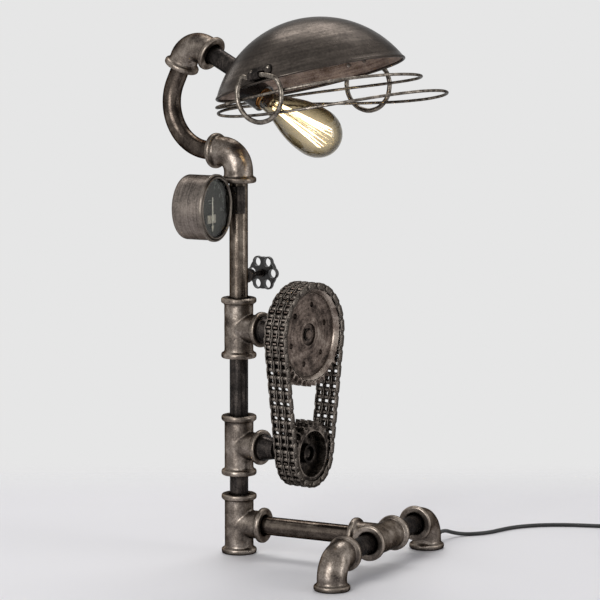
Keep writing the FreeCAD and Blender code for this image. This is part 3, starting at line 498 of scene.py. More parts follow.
# The same under old oil: nearly black, darkened further in the dish by painted shade, with a pale edge ring
# of painted highlight
SMALL_SPROCKET_STEEL = RubbedMetal(
    "oiled_sprocket_steel", "1a1716", "38322e", "857b72", smooth=0.26, rough=0.45, patch_mm=7.0,
    streak_mm=(20.0, 8.0, 8.0), grain_mm=1.6, relief_mm=0.14, crevice_mm=16.0, ring_mm=1.8,
    bright_from_mm=27.8, bright_to_mm=29.4, centre=(0.0, 0.0, LOWER_AXLE),
)
# Stamped chain steel: black with oil, the plates' edges lightened: part wear, part painted highlight
CHAIN_STEEL = RubbedMetal(
    "oiled_chain_steel", "131110", "2b2826", "5b544e", smooth=0.2, rough=0.38, patch_mm=6.0,
    edge_tint=0.3, streak_mm=(4.0, 4.0, 4.0), crevice_mm=7.0, rubbed_edges=True, rub_from=0.535,
    rub_to=0.63, polish="8f867d",
)
# Steel, zinc plated: pale and even
PLATED_STEEL = RubbedMetal(
    "zinc_plated_steel", "5c5953", "8b877f", "b4b0a7", smooth=0.25, rough=0.42, metallic=1.0,
    patch_mm=10.0, streak_mm=(3.0, 3.0, 3.0),
)
# Brass, drawn thin: warm, with painted shade darkening the thread grooves
LAMP_BRASS = RubbedMetal(
    "plated_brass", "7d5026", "b8804a", "dcae7c", smooth=0.22, rough=0.38, patch_mm=6.0,
    streak_mm=(2.0, 2.0, 2.0), crevice_mm=1.5,
)
# Cast iron under black paint: the casting's grain shows through the gloss
BLACK_IRON = Coat("painted_cast_iron", "161413", "35312e", roughness=0.34, relief_mm=0.12, grain_mm=1.4)
# Phenolic, moulded: black with a clean shine
PHENOLIC = Coat("moulded_phenolic", "100e0d", "1c1917", roughness=0.28)
# Porcelain, glazed: cream and glossy
PORCELAIN = Coat("glazed_porcelain", "d9d3c6", "c5bdac", roughness=0.2)
# Rubber sheath, extruded: matt black
RUBBER = Coat("flexible_rubber", "0c0c0c", "191919", roughness=0.46, relief_mm=0.05)
# Soft plastic, moulded: matt black, a shade smoother than the sheath
MOULDED_PLUG = Coat("moulded_plug_plastic", "0f0f0f", "1d1d1d", roughness=0.42, relief_mm=0.05)
# Paints of the gauge: a dull black face, greyed ink, a soiled pale label and a clean hand
DIAL_PAINT = Coat("matt_dial_paint", "0a0b09", "1b1d18", roughness=0.7, patch_mm=8.0)
DIAL_INK = Coat("dial_ink", "8d958e", "6f766f", roughness=0.6, patch_mm=5.0)
LABEL_PAINT = Coat("pale_label_paint", "b9b2aa", "8f8982", roughness=0.5, patch_mm=2.5)
NEEDLE_PAINT = Coat("white_needle_paint", "e4e0d8", "c2beb6", roughness=0.45)
# Soda-lime glass, blown and smoked: clear in the middle, brown towards its outline
SMOKED_GLASS = Glass("smoked_lamp_glass", "f3e8d0", "5d543c")
# Window glass, thin and flat: it bends hardly any light
CLEAR_GLASS = Glass("clear_gauge_glass", "f4f5f1", "e8e7df", roughness=0.02, ior=1.16)
# Carbon filament, lit: a warm white line with no shading
FILAMENT = Coat("glowing_filament", "fff1d6", "fff1d6", roughness=0.5, glow=4.5)

CARRIED = {
    COLUMN_STEEL: ("column_pipe_top",),
    BASE_STEEL: ("base_pipe",),
    ARM_STEEL: ("arm_pipe",),
    BLACK_STEEL: (
        "foot_nipple_near", "foot_nipple_far", "column_nipple_low", "column_pipe_mid", "head_nipple",
        "shade_collar", "ring_strap_near", "ring_strap_far", "gauge_bracket", "switch_bonnet",
        "switch_stem", "axle_bush_big", "axle_bush_small", "retaining_clips",
    ),
    WIRE_STEEL: ("ring_near", "ring_far", "hoop_upper", "hoop_lower", "strap_rivets"),
    DRUM_STEEL: ("gauge_case",),
    BIG_SPROCKET_STEEL: ("axle_big",),
    SMALL_SPROCKET_STEEL: ("axle_small",),
    PLATED_STEEL: ("holder_rod", "shade_nut", "holder_block", "gauge_movement", "wheel_nut"),
    LAMP_BRASS: ("bulb_cap",),
    BLACK_IRON: ("hand_wheel",),
    PHENOLIC: ("lampholder_shell", "rotary_switch"),
    PORCELAIN: ("lampholder_insert",),
    CLEAR_GLASS: ("gauge_glass",),
    SMOKED_GLASS: ("bulb_glass",),
}


def facing(direction: Vector, at: Vector, side: Vector) -> Matrix:
    """Matrix that puts a shape in place by its own axes.

    Args:
        direction: where local Z points.
        at: where local zero goes, in millimetres.
        side: where local X points, square to the direction.

    Returns:
        The matrix.
    """
    direction = direction.normalized()
    side = side.normalized()
    turn = Matrix((side, direction.cross(side), direction)).transposed().to_4x4()
    return Matrix.Translation(at) @ turn


def on_head(distance: float, lift: float = 0.0) -> Vector:
    """Place in millimetres out along the shade's nipple and square to it."""
    return HEAD_CENTRE + LEAN_OUT * distance + LEAN_UP * lift


def add_in(shape: bmesh.types.BMesh, part: bmesh.types.BMesh) -> None:
    """Add a part's mesh to a shape.

    Args:
        shape: mesh that gets it.
        part: mesh that is added, freed here.
    """
    made = bpy.data.meshes.new("part")
    part.to_mesh(made)
    part.free()
    shape.from_mesh(made)
    bpy.data.meshes.remove(made)


def worked_out(name: str, data: bpy.types.ID, voxel_mm: float = 0.0) -> bmesh.types.BMesh:
    """Turn a text, a curve or a set of shells to one mesh.

    Args:
        name: a name for the time it takes.
        data: text, curve or mesh, removed here.
        voxel_mm: size of the cells that the shells are fused by, or 0 to leave them.

    Returns:
        The mesh, in the data's own unit.
    """
    source = bpy.data.objects.new(name, data)
    bpy.context.scene.collection.objects.link(source)
    if voxel_mm:
        skin = source.modifiers.new("skin", "REMESH")
        skin.mode = "VOXEL"
        skin.voxel_size = voxel_mm
    mesh = bpy.data.meshes.new_from_object(source.evaluated_get(bpy.context.evaluated_depsgraph_get()))
    bpy.data.batch_remove((source, data))
    shape = bmesh.new()
    shape.from_mesh(mesh)
    bpy.data.meshes.remove(mesh)
    return shape


def eased(shape: bmesh.types.BMesh, edges: list, offset: float, segments: int = 1) -> None:
    """Round some edges over.

    Args:
        shape: mesh that holds them.
        edges: the edges.
        offset: how far the rounding reaches, in the mesh's unit.
        segments: flats across the rounding.
    """
    bmesh.ops.bevel(
        shape, geom=edges, offset=offset, segments=segments, profile=0.5, affect="EDGES", material=-1
    )


def turned(shape: bmesh.types.BMesh, outline: list[tuple[float, float]], steps: int, place: Matrix) -> None:
    """Add a shape turned about local Z.

    Args:
        shape: mesh that gets it.
        outline: radius and height pairs, starting and ending on the axis or closing on itself.
        steps: flats round the axis.
        place: where it goes, in millimetres.
    """
    part = bmesh.new()
    corners = [part.verts.new((radius, 0, height)) for radius, height in outline]
    edges = [part.edges.new(pair) for pair in zip(corners, corners[1:])]
    bmesh.ops.spin(
        part, geom=corners + edges, cent=(0, 0, 0), axis=(0, 0, 1), angle=2 * math.pi, steps=steps,
        use_merge=True,
    )
    bmesh.ops.remove_doubles(part, verts=part.verts, dist=1e-4)
    bmesh.ops.recalc_face_normals(part, faces=part.faces)
    part.transform(place)
    add_in(shape, part)


def finished(
    name: str,
    shape: bmesh.types.BMesh,
    finishes: list,
    body: Body,
    slot: Slot,
    nodes: tuple[str, ...] = (),
    sharp: float = 40.0,
) -> bpy.types.Object:
    """Turn a mesh in millimetres to a dressed piece in the model's frame.

    Args:
        name: the piece's name.
        shape: its mesh in millimetres, freed here.
        finishes: its finishes in the order of the faces' material numbers.
        body: body that it rides on.
        slot: record slot that it stands for; not used.
        nodes: CAD nodes that it stands for.
        sharp: angle in degrees past which an edge stays sharp.

    Returns:
        The new piece.
    """
    shape.transform(Matrix.Scale(MM, 4))
    limit = math.radians(sharp)
    for edge in shape.edges:
        edge.smooth = edge.calc_face_angle(0.0) < limit
    for face in shape.faces:
        face.smooth = True
    mesh = bpy.data.meshes.new(name)
    shape.to_mesh(mesh)
    shape.free()
    for finish in finishes:
        mesh.materials.append(finish.material())
    piece = bpy.data.objects.new(name, mesh)
    bpy.context.scene.collection.objects.link(piece)
    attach(piece, body.value)
    if nodes:
        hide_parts(*nodes)
    LOG.info("%s: %d faces", name, len(mesh.polygons))
    return piece


@dataclass(frozen=True)
class Softbox:
    """Soft rectangular lamp, with its place and size in metres and its power in watts."""

    name: str
    place: tuple[float, float, float]
    size: tuple[float, float]
    power: float


@dataclass
class Studio:
    """Camera at the photograph's angle, pale floor, soft lamps and a pale surround, in metres."""

    camera_place: tuple[float, float, float] = (2.20076, -2.98043, 0.81123)
    yaw: float = 0.61556
    pitch: float = 0.13164
    roll: float = -0.0009
    lens: float = 179.86
    lamp_aim: tuple[float, float, float] = (0.05, 0.0, 0.34)
    lamps: tuple[Softbox, ...] = (
        Softbox("key_softbox", (0.25, -2.05, 0.85), (1.0, 1.7), 27.0),
        Softbox("side_softbox", (2.1, 0.5, 0.75), (0.6, 1.5), 9.0),
        Softbox("rear_softbox", (-1.9, 0.7, 0.7), (0.5, 1.2), 4.0),
        Softbox("top_softbox", (-0.5, 0.9, 2.1), (1.6, 1.0), 20.0),
    )
    surround: str = "e6e6e6"
    fill: str = "f4f6ff"
    fill_strength: float = 0.4
    floor_colours: tuple[str, str] = ("e6e4e4", "e9e7e7")
    floor_half: float = 3.0
    floor_reach: float = 0.62
    fade_length: float = 0.3
    clear_radius: float = 1.7

    def shoot(self) -> None:
        """Set the camera."""
        data = bpy.data.cameras.new("photo_camera")
        data.lens = self.lens
        data.sensor_width = 36.0
        data.clip_start = 0.05
        camera = bpy.data.objects.new("photo_camera", data)
        camera.location = self.camera_place
        camera.rotation_euler = Euler((math.pi / 2 - self.pitch, self.roll, self.yaw))
        bpy.context.scene.collection.objects.link(camera)
        bpy.context.scene.camera = camera

    def light(self) -> None:
        """Hang the softboxes and colour the surround."""
        for box in self.lamps:
            data = bpy.data.lights.new(box.name, "AREA")
            data.shape = "RECTANGLE"
            data.size, data.size_y = box.size
            data.energy = box.power
            lamp = bpy.data.objects.new(box.name, data)
            lamp.location = box.place
            to_aim = Vector(self.lamp_aim) - Vector(box.place)
            lamp.rotation_euler = to_aim.to_track_quat("-Z", "Y").to_euler()
            lamp.visible_camera = False
            bpy.context.scene.collection.objects.link(lamp)
        world = bpy.data.worlds.new("pale_surround")
        world.use_nodes = True
        bpy.context.scene.world = world
        tree = world.node_tree
        tree.nodes.clear()
        path = add_node(tree, "LightPath").outputs
        shown = path["Is Camera Ray"]
        for ray in ("Is Glossy Ray", "Is Transmission Ray"):
            shown = add_node(tree, "Math", links={0: shown, 1: path[ray]}, operation="MAXIMUM").outputs[0]
        dim = add_node(tree, "Background", {"Color": linear(self.fill), "Strength": self.fill_strength})
        pale = add_node(tree, "Background", {"Color": linear(self.surround), "Strength": 1.0})
        mixed = add_node(tree, "MixShader", links={0: shown, 1: dim, 2: pale})
        add_node(tree, "OutputWorld", links={"Surface": mixed})

    def lay_floor(self) -> None:
        """Lay the pale table top, which fades into the surround behind the lamp and far from it."""
        shape = bmesh.new()
        bmesh.ops.create_grid(shape, x_segments=1, y_segments=1, size=self.floor_half)
        mesh = bpy.data.meshes.new("table_top")
        shape.to_mesh(mesh)
        shape.free()
        floor = bpy.data.objects.new("table_top", mesh)
        bpy.context.scene.collection.objects.link(floor)
        floor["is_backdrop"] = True
        material, tree, shader = blank_material("matt_white_laminate")
        place = add_node(tree, "TexCoord").outputs["Object"]
        cloud = add_node(tree, "TexNoise", {"Scale": 3.0, "Detail": 2.0}, {"Vector": place})
        colour = add_node(
            tree, "ValToRGB", links={"Fac": cloud},
            stops=((0.3, self.floor_colours[0]), (0.7, self.floor_colours[1])),
        )
        set_inputs(tree, shader, {"Roughness": 0.55}, {"Base Color": colour})
        back = (-math.sin(self.yaw), math.cos(self.yaw), 0)
        away = add_node(tree, "VectorMath", {1: back}, {0: place}, operation="DOT_PRODUCT")
        radius = add_node(tree, "VectorMath", links={0: place}, operation="LENGTH")
        fades = [
            add_node(
                tree, "MapRange", {"From Min": start, "From Max": end}, {"Value": distance.outputs["Value"]},
                interpolation_type="SMOOTHSTEP",
            )
            for distance, start, end in (
                (away, self.floor_reach - self.fade_length, self.floor_reach),
                (radius, self.clear_radius / 2, self.clear_radius),
            )
        ]
        fade = add_node(tree, "Math", links={0: fades[0], 1: fades[1]}, operation="MAXIMUM")
        clear = add_node(tree, "BsdfTransparent")
        mixed = add_node(tree, "MixShader", links={0: fade, 1: shader, 2: clear})
        output = next(node for node in tree.nodes if node.type == "OUTPUT_MATERIAL")
        set_inputs(tree, output, links={"Surface": mixed})
        mesh.materials.append(material)


@dataclass
class MainsLead:
    """Black round lead: out of the far foot, along the table, wound in a coil, ending in a plug."""

    wire_r: float = 2.5
    coil_centre: tuple[float, float] = (378.0, 385.0)
    coil_start: float = 110.0
    coil_in_r: float = 20.0
    coil_step: float = 5.5
    coil_turns: float = 3.625
    points_a_turn: int = 16
    relief_end: float = 40.2
    ribs: int = 6
    plug_len: float = 36.0
    plug_wide: float = 26.0
    plug_high: float = 13.0
    plug_neck: float = 0.62
    ridges: int = 5
    pin_r: float = 2.0
    pin_len: float = 19.0
    pin_step: float = 19.0

    def coil_point(self, turn: float) -> Vector:
        """Place on the coil: in on the table, up a layer, out again.

        Args:
            turn: turns from the coil's start.

        Returns:
            The place in millimetres.
        """
        radius = self.coil_in_r + self.coil_step * abs(turn - self.coil_turns)
        climb = min(1.0, max(0.0, (turn - self.coil_turns + 0.25) / 0.5))
        height = self.wire_r + self.coil_step * climb * climb * (3 - 2 * climb)
        angle = math.radians(self.coil_start) - 2 * math.pi * turn
        return Vector((
            self.coil_centre[0] + radius * math.cos(angle),
            self.coil_centre[1] + radius * math.sin(angle),
            height,
        ))

    def route(self) -> list[Vector]:
        """Lay out the whole lead.

        Returns:
            Its points in millimetres, from the strain relief to the plug.
        """
        out = BASE_TURN @ Y
        start = LEAD_EXIT + out * self.relief_end
        points = [start, start + out * 14]
        points += [Vector(place) for place in (
            (171, 231, 6.5), (178, 247, 2.5), (191, 260, 2.5), (200, 278, 2.5), (203, 300, 2.5),
            (209, 324, 2.5), (222, 346, 2.5), (241, 365, 2.5), (266, 381, 2.5), (296, 394, 2.5),
        )]
        first = (self.coil_point(0.001) - self.coil_point(0)).normalized()
        points.append(self.coil_point(0) - first * 32)
        points.append(self.coil_point(0) - first * 5)
        wound = 2 * self.coil_turns
        count = int(wound * self.points_a_turn)
        points += [self.coil_point(wound * i / count) for i in range(count + 1)]
        last = (self.coil_point(wound) - self.coil_point(wound - 0.001)).normalized()
        aside = Vector((last.y, -last.x, 0))
        for ahead, across, up in (
            (5, 0, 0), (19, 0, 0), (35, 2, -2.6), (52, 6, -5.2), (69, 13, -4.2), (84, 22, -1.5),
            (97, 33, -1.5),
        ):
            points.append(self.coil_point(wound) + last * ahead + aside * across + Z * up)
        return points

    def plug(self, place: Matrix) -> bpy.types.Object:
        """Mould the plug's body with its grip ridges.

        Args:
            place: where the lead enters it, with local Z along its pins and local X up.

        Returns:
            The plug's body.
        """
        shape = bmesh.new()
        size = Matrix.Diagonal((self.plug_high, self.plug_wide, self.plug_len, 1))
        bmesh.ops.create_cube(
            shape, size=1.0, matrix=place @ Matrix.Translation((0, 0, self.plug_len / 2)) @ size
        )
        inverse = place.inverted()
        rear = [vert for vert in shape.verts if (inverse @ vert.co).z < self.plug_len / 2]
        bmesh.ops.scale(shape, vec=(0.8, self.plug_neck, 1), verts=rear, space=inverse)
        eased(shape, list(shape.edges), 3.2, 5)
        for i in range(self.ridges):
            height = 7.0 + 3.6 * i
            wide = self.plug_wide * (self.plug_neck + (1 - self.plug_neck) * height / self.plug_len)
            ridge = Matrix.Diagonal((7.5, wide + 1.0, 1.5, 1))
            made = bmesh.ops.create_cube(
                shape, size=1.0, matrix=place @ Matrix.Translation((0, 0, height)) @ ridge
            )
            eased(shape, list({edge for vert in made["verts"] for edge in vert.link_edges}), 0.6, 2)
        return finished("mains_plug", shape, [MOULDED_PLUG], Body.STAND, Slot.PLUG, ("plug_body",), 50)

    def pins(self, place: Matrix) -> bpy.types.Object:
        """Turn the plug's two pins, sleeved near the body.

        Args:
            place: as for the plug.

        Returns:
            The pins.
        """
        shape = bmesh.new()
        start, tip, bare = self.plug_len, self.plug_len + self.pin_len, self.pin_r - 0.15
        outline = [
            (0, start - 1), (self.pin_r, start - 1), (self.pin_r, start + 10), (bare, start + 10.3),
            (bare, tip - 1.2), (1.3, tip - 0.3), (0, tip),
        ]
        for side in (1, -1):
            turned(shape, outline, 24, place @ Matrix.Translation((0, side * self.pin_step / 2, 0)))
        return finished("plug_contacts", shape, [LAMP_BRASS], Body.STAND, Slot.PINS, ("plug_pins",))

    def relief(self) -> bpy.types.Object:
        """Mould the tapered strain relief with its ribs.

        Returns:
            The strain relief.
        """
        shape = bmesh.new()
        wire = self.wire_r
        outline = [(wire, 10.2), (3.8, 10.2), (3.8, 18.5), (5.2, 18.6), (5.2, 20.6), (4.7, 21.2)]
        for i in range(self.ribs):
            start = 21.6 + 2.8 * i
            wide = 4.65 - 0.2 * i
            outline += [
                (wide, start), (wide, start + 1.5), (wide - 0.55, start + 1.8), (wide - 0.6, start + 2.5),
            ]
        end = self.relief_end
        outline += [(3.2, end - 1.2), (3.1, end - 0.2), (wire, end), (wire, 10.2)]
        turned(shape, outline, 40, facing(BASE_TURN @ Y, LEAD_EXIT, Z))
        return finished("strain_relief", shape, [RUBBER], Body.STAND, Slot.CORD, ("cord_relief",))

    def build(self) -> None:
        """Lay the lead and put its plug and strain relief on."""
        points = self.route()
        data = bpy.data.curves.new("mains_lead", "CURVE")
        data.dimensions = "3D"
        data.bevel_depth = self.wire_r * MM
        data.bevel_resolution = 5
        data.resolution_u = 6
        data.use_fill_caps = True
        spline = data.splines.new("NURBS")
        spline.points.add(len(points) - 1)
        for point, place in zip(spline.points, points):
            point.co = (*(place * MM), 1.0)
        spline.order_u = 3
        spline.use_endpoint_u = True
        data.materials.append(RUBBER.material())
        lead = bpy.data.objects.new("mains_lead", data)
        bpy.context.scene.collection.objects.link(lead)
        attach(lead, Body.STAND.value)
        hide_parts("cord", "cord_coil", "cord_tail")
        LOG.info("mains_lead: %d points", len(points))
        plug_place = facing(points[-1] - points[-2], points[-1], Z)
        plug = self.plug(plug_place)
        pins = self.pins(plug_place)
        relief = self.relief()


@dataclass
class PipeWork:
    """The eight cast fittings: tees and elbows with rounded bands at their mouths."""

    reach: float = 38.0
    body_r: float = 18.2
    branch_r: float = 17.6
    band_r: float = 22.2
    bend_r: float = 24.0
    socket_at: float = 25.0
    socket_r: float = 11.8
    top_elbow_z: float = 505.7
    facets: int = 64
    voxel: float = 0.95
    rounds: int = 3
    unevenness: float = 0.14

    def leg(self, shape: bmesh.types.BMesh, radius: float, start: float, way: Vector, side: Vector) -> None:
        """Add one leg with its band and socket.

        Args:
            shape: mesh that gets it.
            radius: the leg's radius.
            start: how far from the fitting's middle it starts.
            way: where it points.
            side: any direction square to that.
        """
        band = self.band_r
        mouth = self.reach
        outline = [
            (0, start), (radius, start), (radius, mouth - 9.0), (radius + 0.8, mouth - 7.6),
            (band - 1.4, mouth - 7.0), (band - 0.3, mouth - 6.2), (band, mouth - 4.8), (band, mouth - 2.2),
            (band - 0.5, mouth - 0.7), (band - 1.6, mouth), (14.6, mouth), (12.9, mouth - 1.0),
            (self.socket_r, mouth - 2.8), (self.socket_r, self.socket_at), (0, self.socket_at),
        ]
        turned(shape, outline, self.facets, facing(way, Vector(), side))

    def skinned(self, shells: bmesh.types.BMesh) -> bmesh.types.BMesh:
        """Fuse overlapping closed shells to one soft-edged skin, as casting does.

        Args:
            shells: the shells, freed here.

        Returns:
            The fused mesh.
        """
        mesh = bpy.data.meshes.new("shells")
        shells.to_mesh(mesh)
        shells.free()
        fused = worked_out("shells", mesh, self.voxel)
        for _ in range(self.rounds):
            bmesh.ops.smooth_vert(
                fused, verts=fused.verts, factor=0.5, use_axis_x=True, use_axis_y=True, use_axis_z=True
            )
        return fused

    def tee(self) -> bmesh.types.BMesh:
        """Cast a tee.

        Returns:
            Its mesh, with the run along Z and the branch along X.
        """
        shape = bmesh.new()
        self.leg(shape, self.body_r, -2.0, Z, X)
        self.leg(shape, self.body_r, -2.0, -Z, X)
        self.leg(shape, self.branch_r, 0.0, X, Y)
        return self.skinned(shape)

    def elbow(self) -> bmesh.types.BMesh:
        """Cast an elbow.

        Returns:
            Its mesh, with legs along X and Z round a quarter bend.
        """
        shape = bmesh.new()
        ring = bmesh.ops.create_circle(
            shape, cap_ends=False, segments=self.facets, radius=self.body_r,
            matrix=Matrix.Translation((self.bend_r, 0, 0)) @ Matrix.Rotation(math.pi / 2, 4, "Y"),
        )["verts"]
        edges = list({edge for vert in ring for edge in vert.link_edges})
        bmesh.ops.spin(
            shape, geom=ring + edges, cent=(self.bend_r, 0, self.bend_r), axis=(0, 1, 0),
            angle=math.pi / 2, steps=20,
        )
        bmesh.ops.holes_fill(shape, edges=shape.edges)
        bmesh.ops.recalc_face_normals(shape, faces=shape.faces)
        self.leg(shape, self.body_r, self.bend_r - 2, Z, X)
        self.leg(shape, self.body_r, self.bend_r - 2, X, Y)
        return self.skinned(shape)

    def cast(self, shape: bmesh.types.BMesh, name: str, place: Matrix, body: Body, seed: int) -> None:
        """Put one fitting in place with its own uneven surface.

        Args:
            shape: tee or elbow in its own frame.
            name: CAD node that it stands for.
            place: where it goes, in millimetres.
            body: body that it rides on.
            seed: number of the fitting, which shifts its unevenness.
        """
        copy = shape.copy()
        copy.normal_update()
        shift = Vector((31.7, 17.3, 5.1)) * seed
        for vert in copy.verts:
            swell = noise.noise((vert.co + shift) * 0.11) + 0.4 * noise.noise((vert.co + shift) * 0.37)
            vert.co += vert.normal * (swell * self.unevenness - 0.05)
        copy.transform(place)
        finished("cast_" + name, copy, [CAST_IRON], body, Slot.FITTING, (name,), 80)

    def build(self) -> None:
        """Cast both kinds of fitting and put all eight in place."""
        tee, elbow = self.tee(), self.elbow()
        out, across = BASE_TURN @ X, BASE_TURN @ Y
        height = Z * self.reach
        front = out * BASE_REACH + height
        foot = across * FOOT_ASIDE
        fittings = (
            (tee, "base_tee", height, Z, out, Body.STAND),
            (tee, "front_tee", front, across, -out, Body.STAND),
            (tee, "lower_tee", Z * LOWER_AXLE, Z, X, Body.STAND),
            (tee, "mid_tee", Z * UPPER_AXLE, Z, X, Body.STAND),
            (elbow, "foot_elbow_near", front - foot, across, -Z, Body.STAND),
            (elbow, "foot_elbow_far", front + foot, -across, -Z, Body.STAND),
            (elbow, "top_elbow", Z * self.top_elbow_z, -Z, -X, Body.ARM),
            (elbow, "head_elbow", HEAD_CENTRE, -LEAN_UP, LEAN_OUT, Body.ARM),
        )
        for seed, (shape, name, at, run, branch, body) in enumerate(fittings):
            self.cast(shape, name, facing(run, at, branch), body, seed)
        tee.free()
        elbow.free()


@dataclass
class Bowl:
    """Spun shade: a spherical bowl with a rolled rim."""

    radius: float = 130.0
    wall: float = 1.6
    rim_height: float = 56.4
    bead_r: float = 1.7
    bead_points: int = 12
    out: float = 218.5
    arc_points: int = 40
    facets: int = 144

    def build(self) -> None:
        """Spin the bowl and give its inside the finish of painted lamplight."""
        rim_angle = math.acos(self.rim_height / self.radius)
        inner = self.radius - self.wall
        angles = [rim_angle * i / self.arc_points for i in range(self.arc_points)]
        outline = [(self.radius * math.sin(a), self.radius * math.cos(a)) for a in angles]
        bead_at = self.radius * math.sin(rim_angle) - self.wall / 2
        for i in range(self.bead_points):
            a = math.radians(50 - 280 * i / (self.bead_points - 1))
            outline.append((bead_at + self.bead_r * math.cos(a), self.rim_height + self.bead_r * math.sin(a)))
        outline += [(inner * math.sin(a), inner * math.cos(a)) for a in reversed(angles)]
        tilt = math.radians(SHADE_TILT)
        up = Vector((-math.sin(tilt), 0, math.cos(tilt)))
        centre = on_head(self.out)
        shape = bmesh.new()
        turned(shape, outline, self.facets, facing(up, centre, Y))
        # Faces inside the bowl take the finish of painted lamplight
        for face in shape.faces:
            middle = face.calc_center_median() - centre
            inside = middle.length < self.radius - self.wall / 2 and middle.dot(up) > self.rim_height + 1
            face.material_index = int(inside)
        finished("spun_shade", shape, [SPUN_STEEL, LAMPLIT_INSIDE_STEEL], Body.HEAD, Slot.SHADE, ("shade",), 50)


@dataclass
class Filament:
    """The bulb's glass stem and its long filament, hung in a cage of wire hooks."""

    drop: float = 12.0
    stem_at: float = 114.5
    neck: float = 134.3
    low_ring: float = 150.0
    high_ring: float = 231.0
    low_r: float = 5.0
    high_r: float = 13.5
    runs: int = 30
    wire_r: float = 0.5

    def build(self) -> None:
        """Blow the stem and string the filament."""
        place = facing(LEAN_OUT, on_head(0, -self.drop), LEAN_UP)
        neck, top = self.neck, self.high_ring
        stem = bmesh.new()
        outline = [
            (0, self.stem_at), (6.3, self.stem_at), (6.3, neck - 1), (8, neck + 5), (5.0, neck + 11),
            (2.6, neck + 18), (2.0, top - 18), (2.8, top - 15), (0, top - 12),
        ]
        turned(stem, outline, 32, place)
        glass_stem = finished(
            "bulb_glass_stem", stem, [CLEAR_GLASS], Body.HEAD, Slot.FILAMENT, ("bulb_stem",)
        )
        glass_stem.visible_shadow = False
        data = bpy.data.curves.new("filament", "CURVE")
        data.dimensions = "3D"
        data.bevel_depth = self.wire_r
        data.bevel_resolution = 2
        data.use_fill_caps = True
        spline = data.splines.new("POLY")
        spline.points.add(self.runs)
        for i, point in enumerate(spline.points):
            angle = 2 * math.pi * i / self.runs
            radius, height = (self.high_r, top) if i % 2 else (self.low_r, self.low_ring)
            spot = place @ Vector((radius * math.cos(angle), radius * math.sin(angle), height))
            point.co = (*spot, 1.0)
        string = worked_out("filament_line", data)
        strung = finished("bulb_filament", string, [FILAMENT], Body.HEAD, Slot.FILAMENT)
        strung.visible_glossy = False


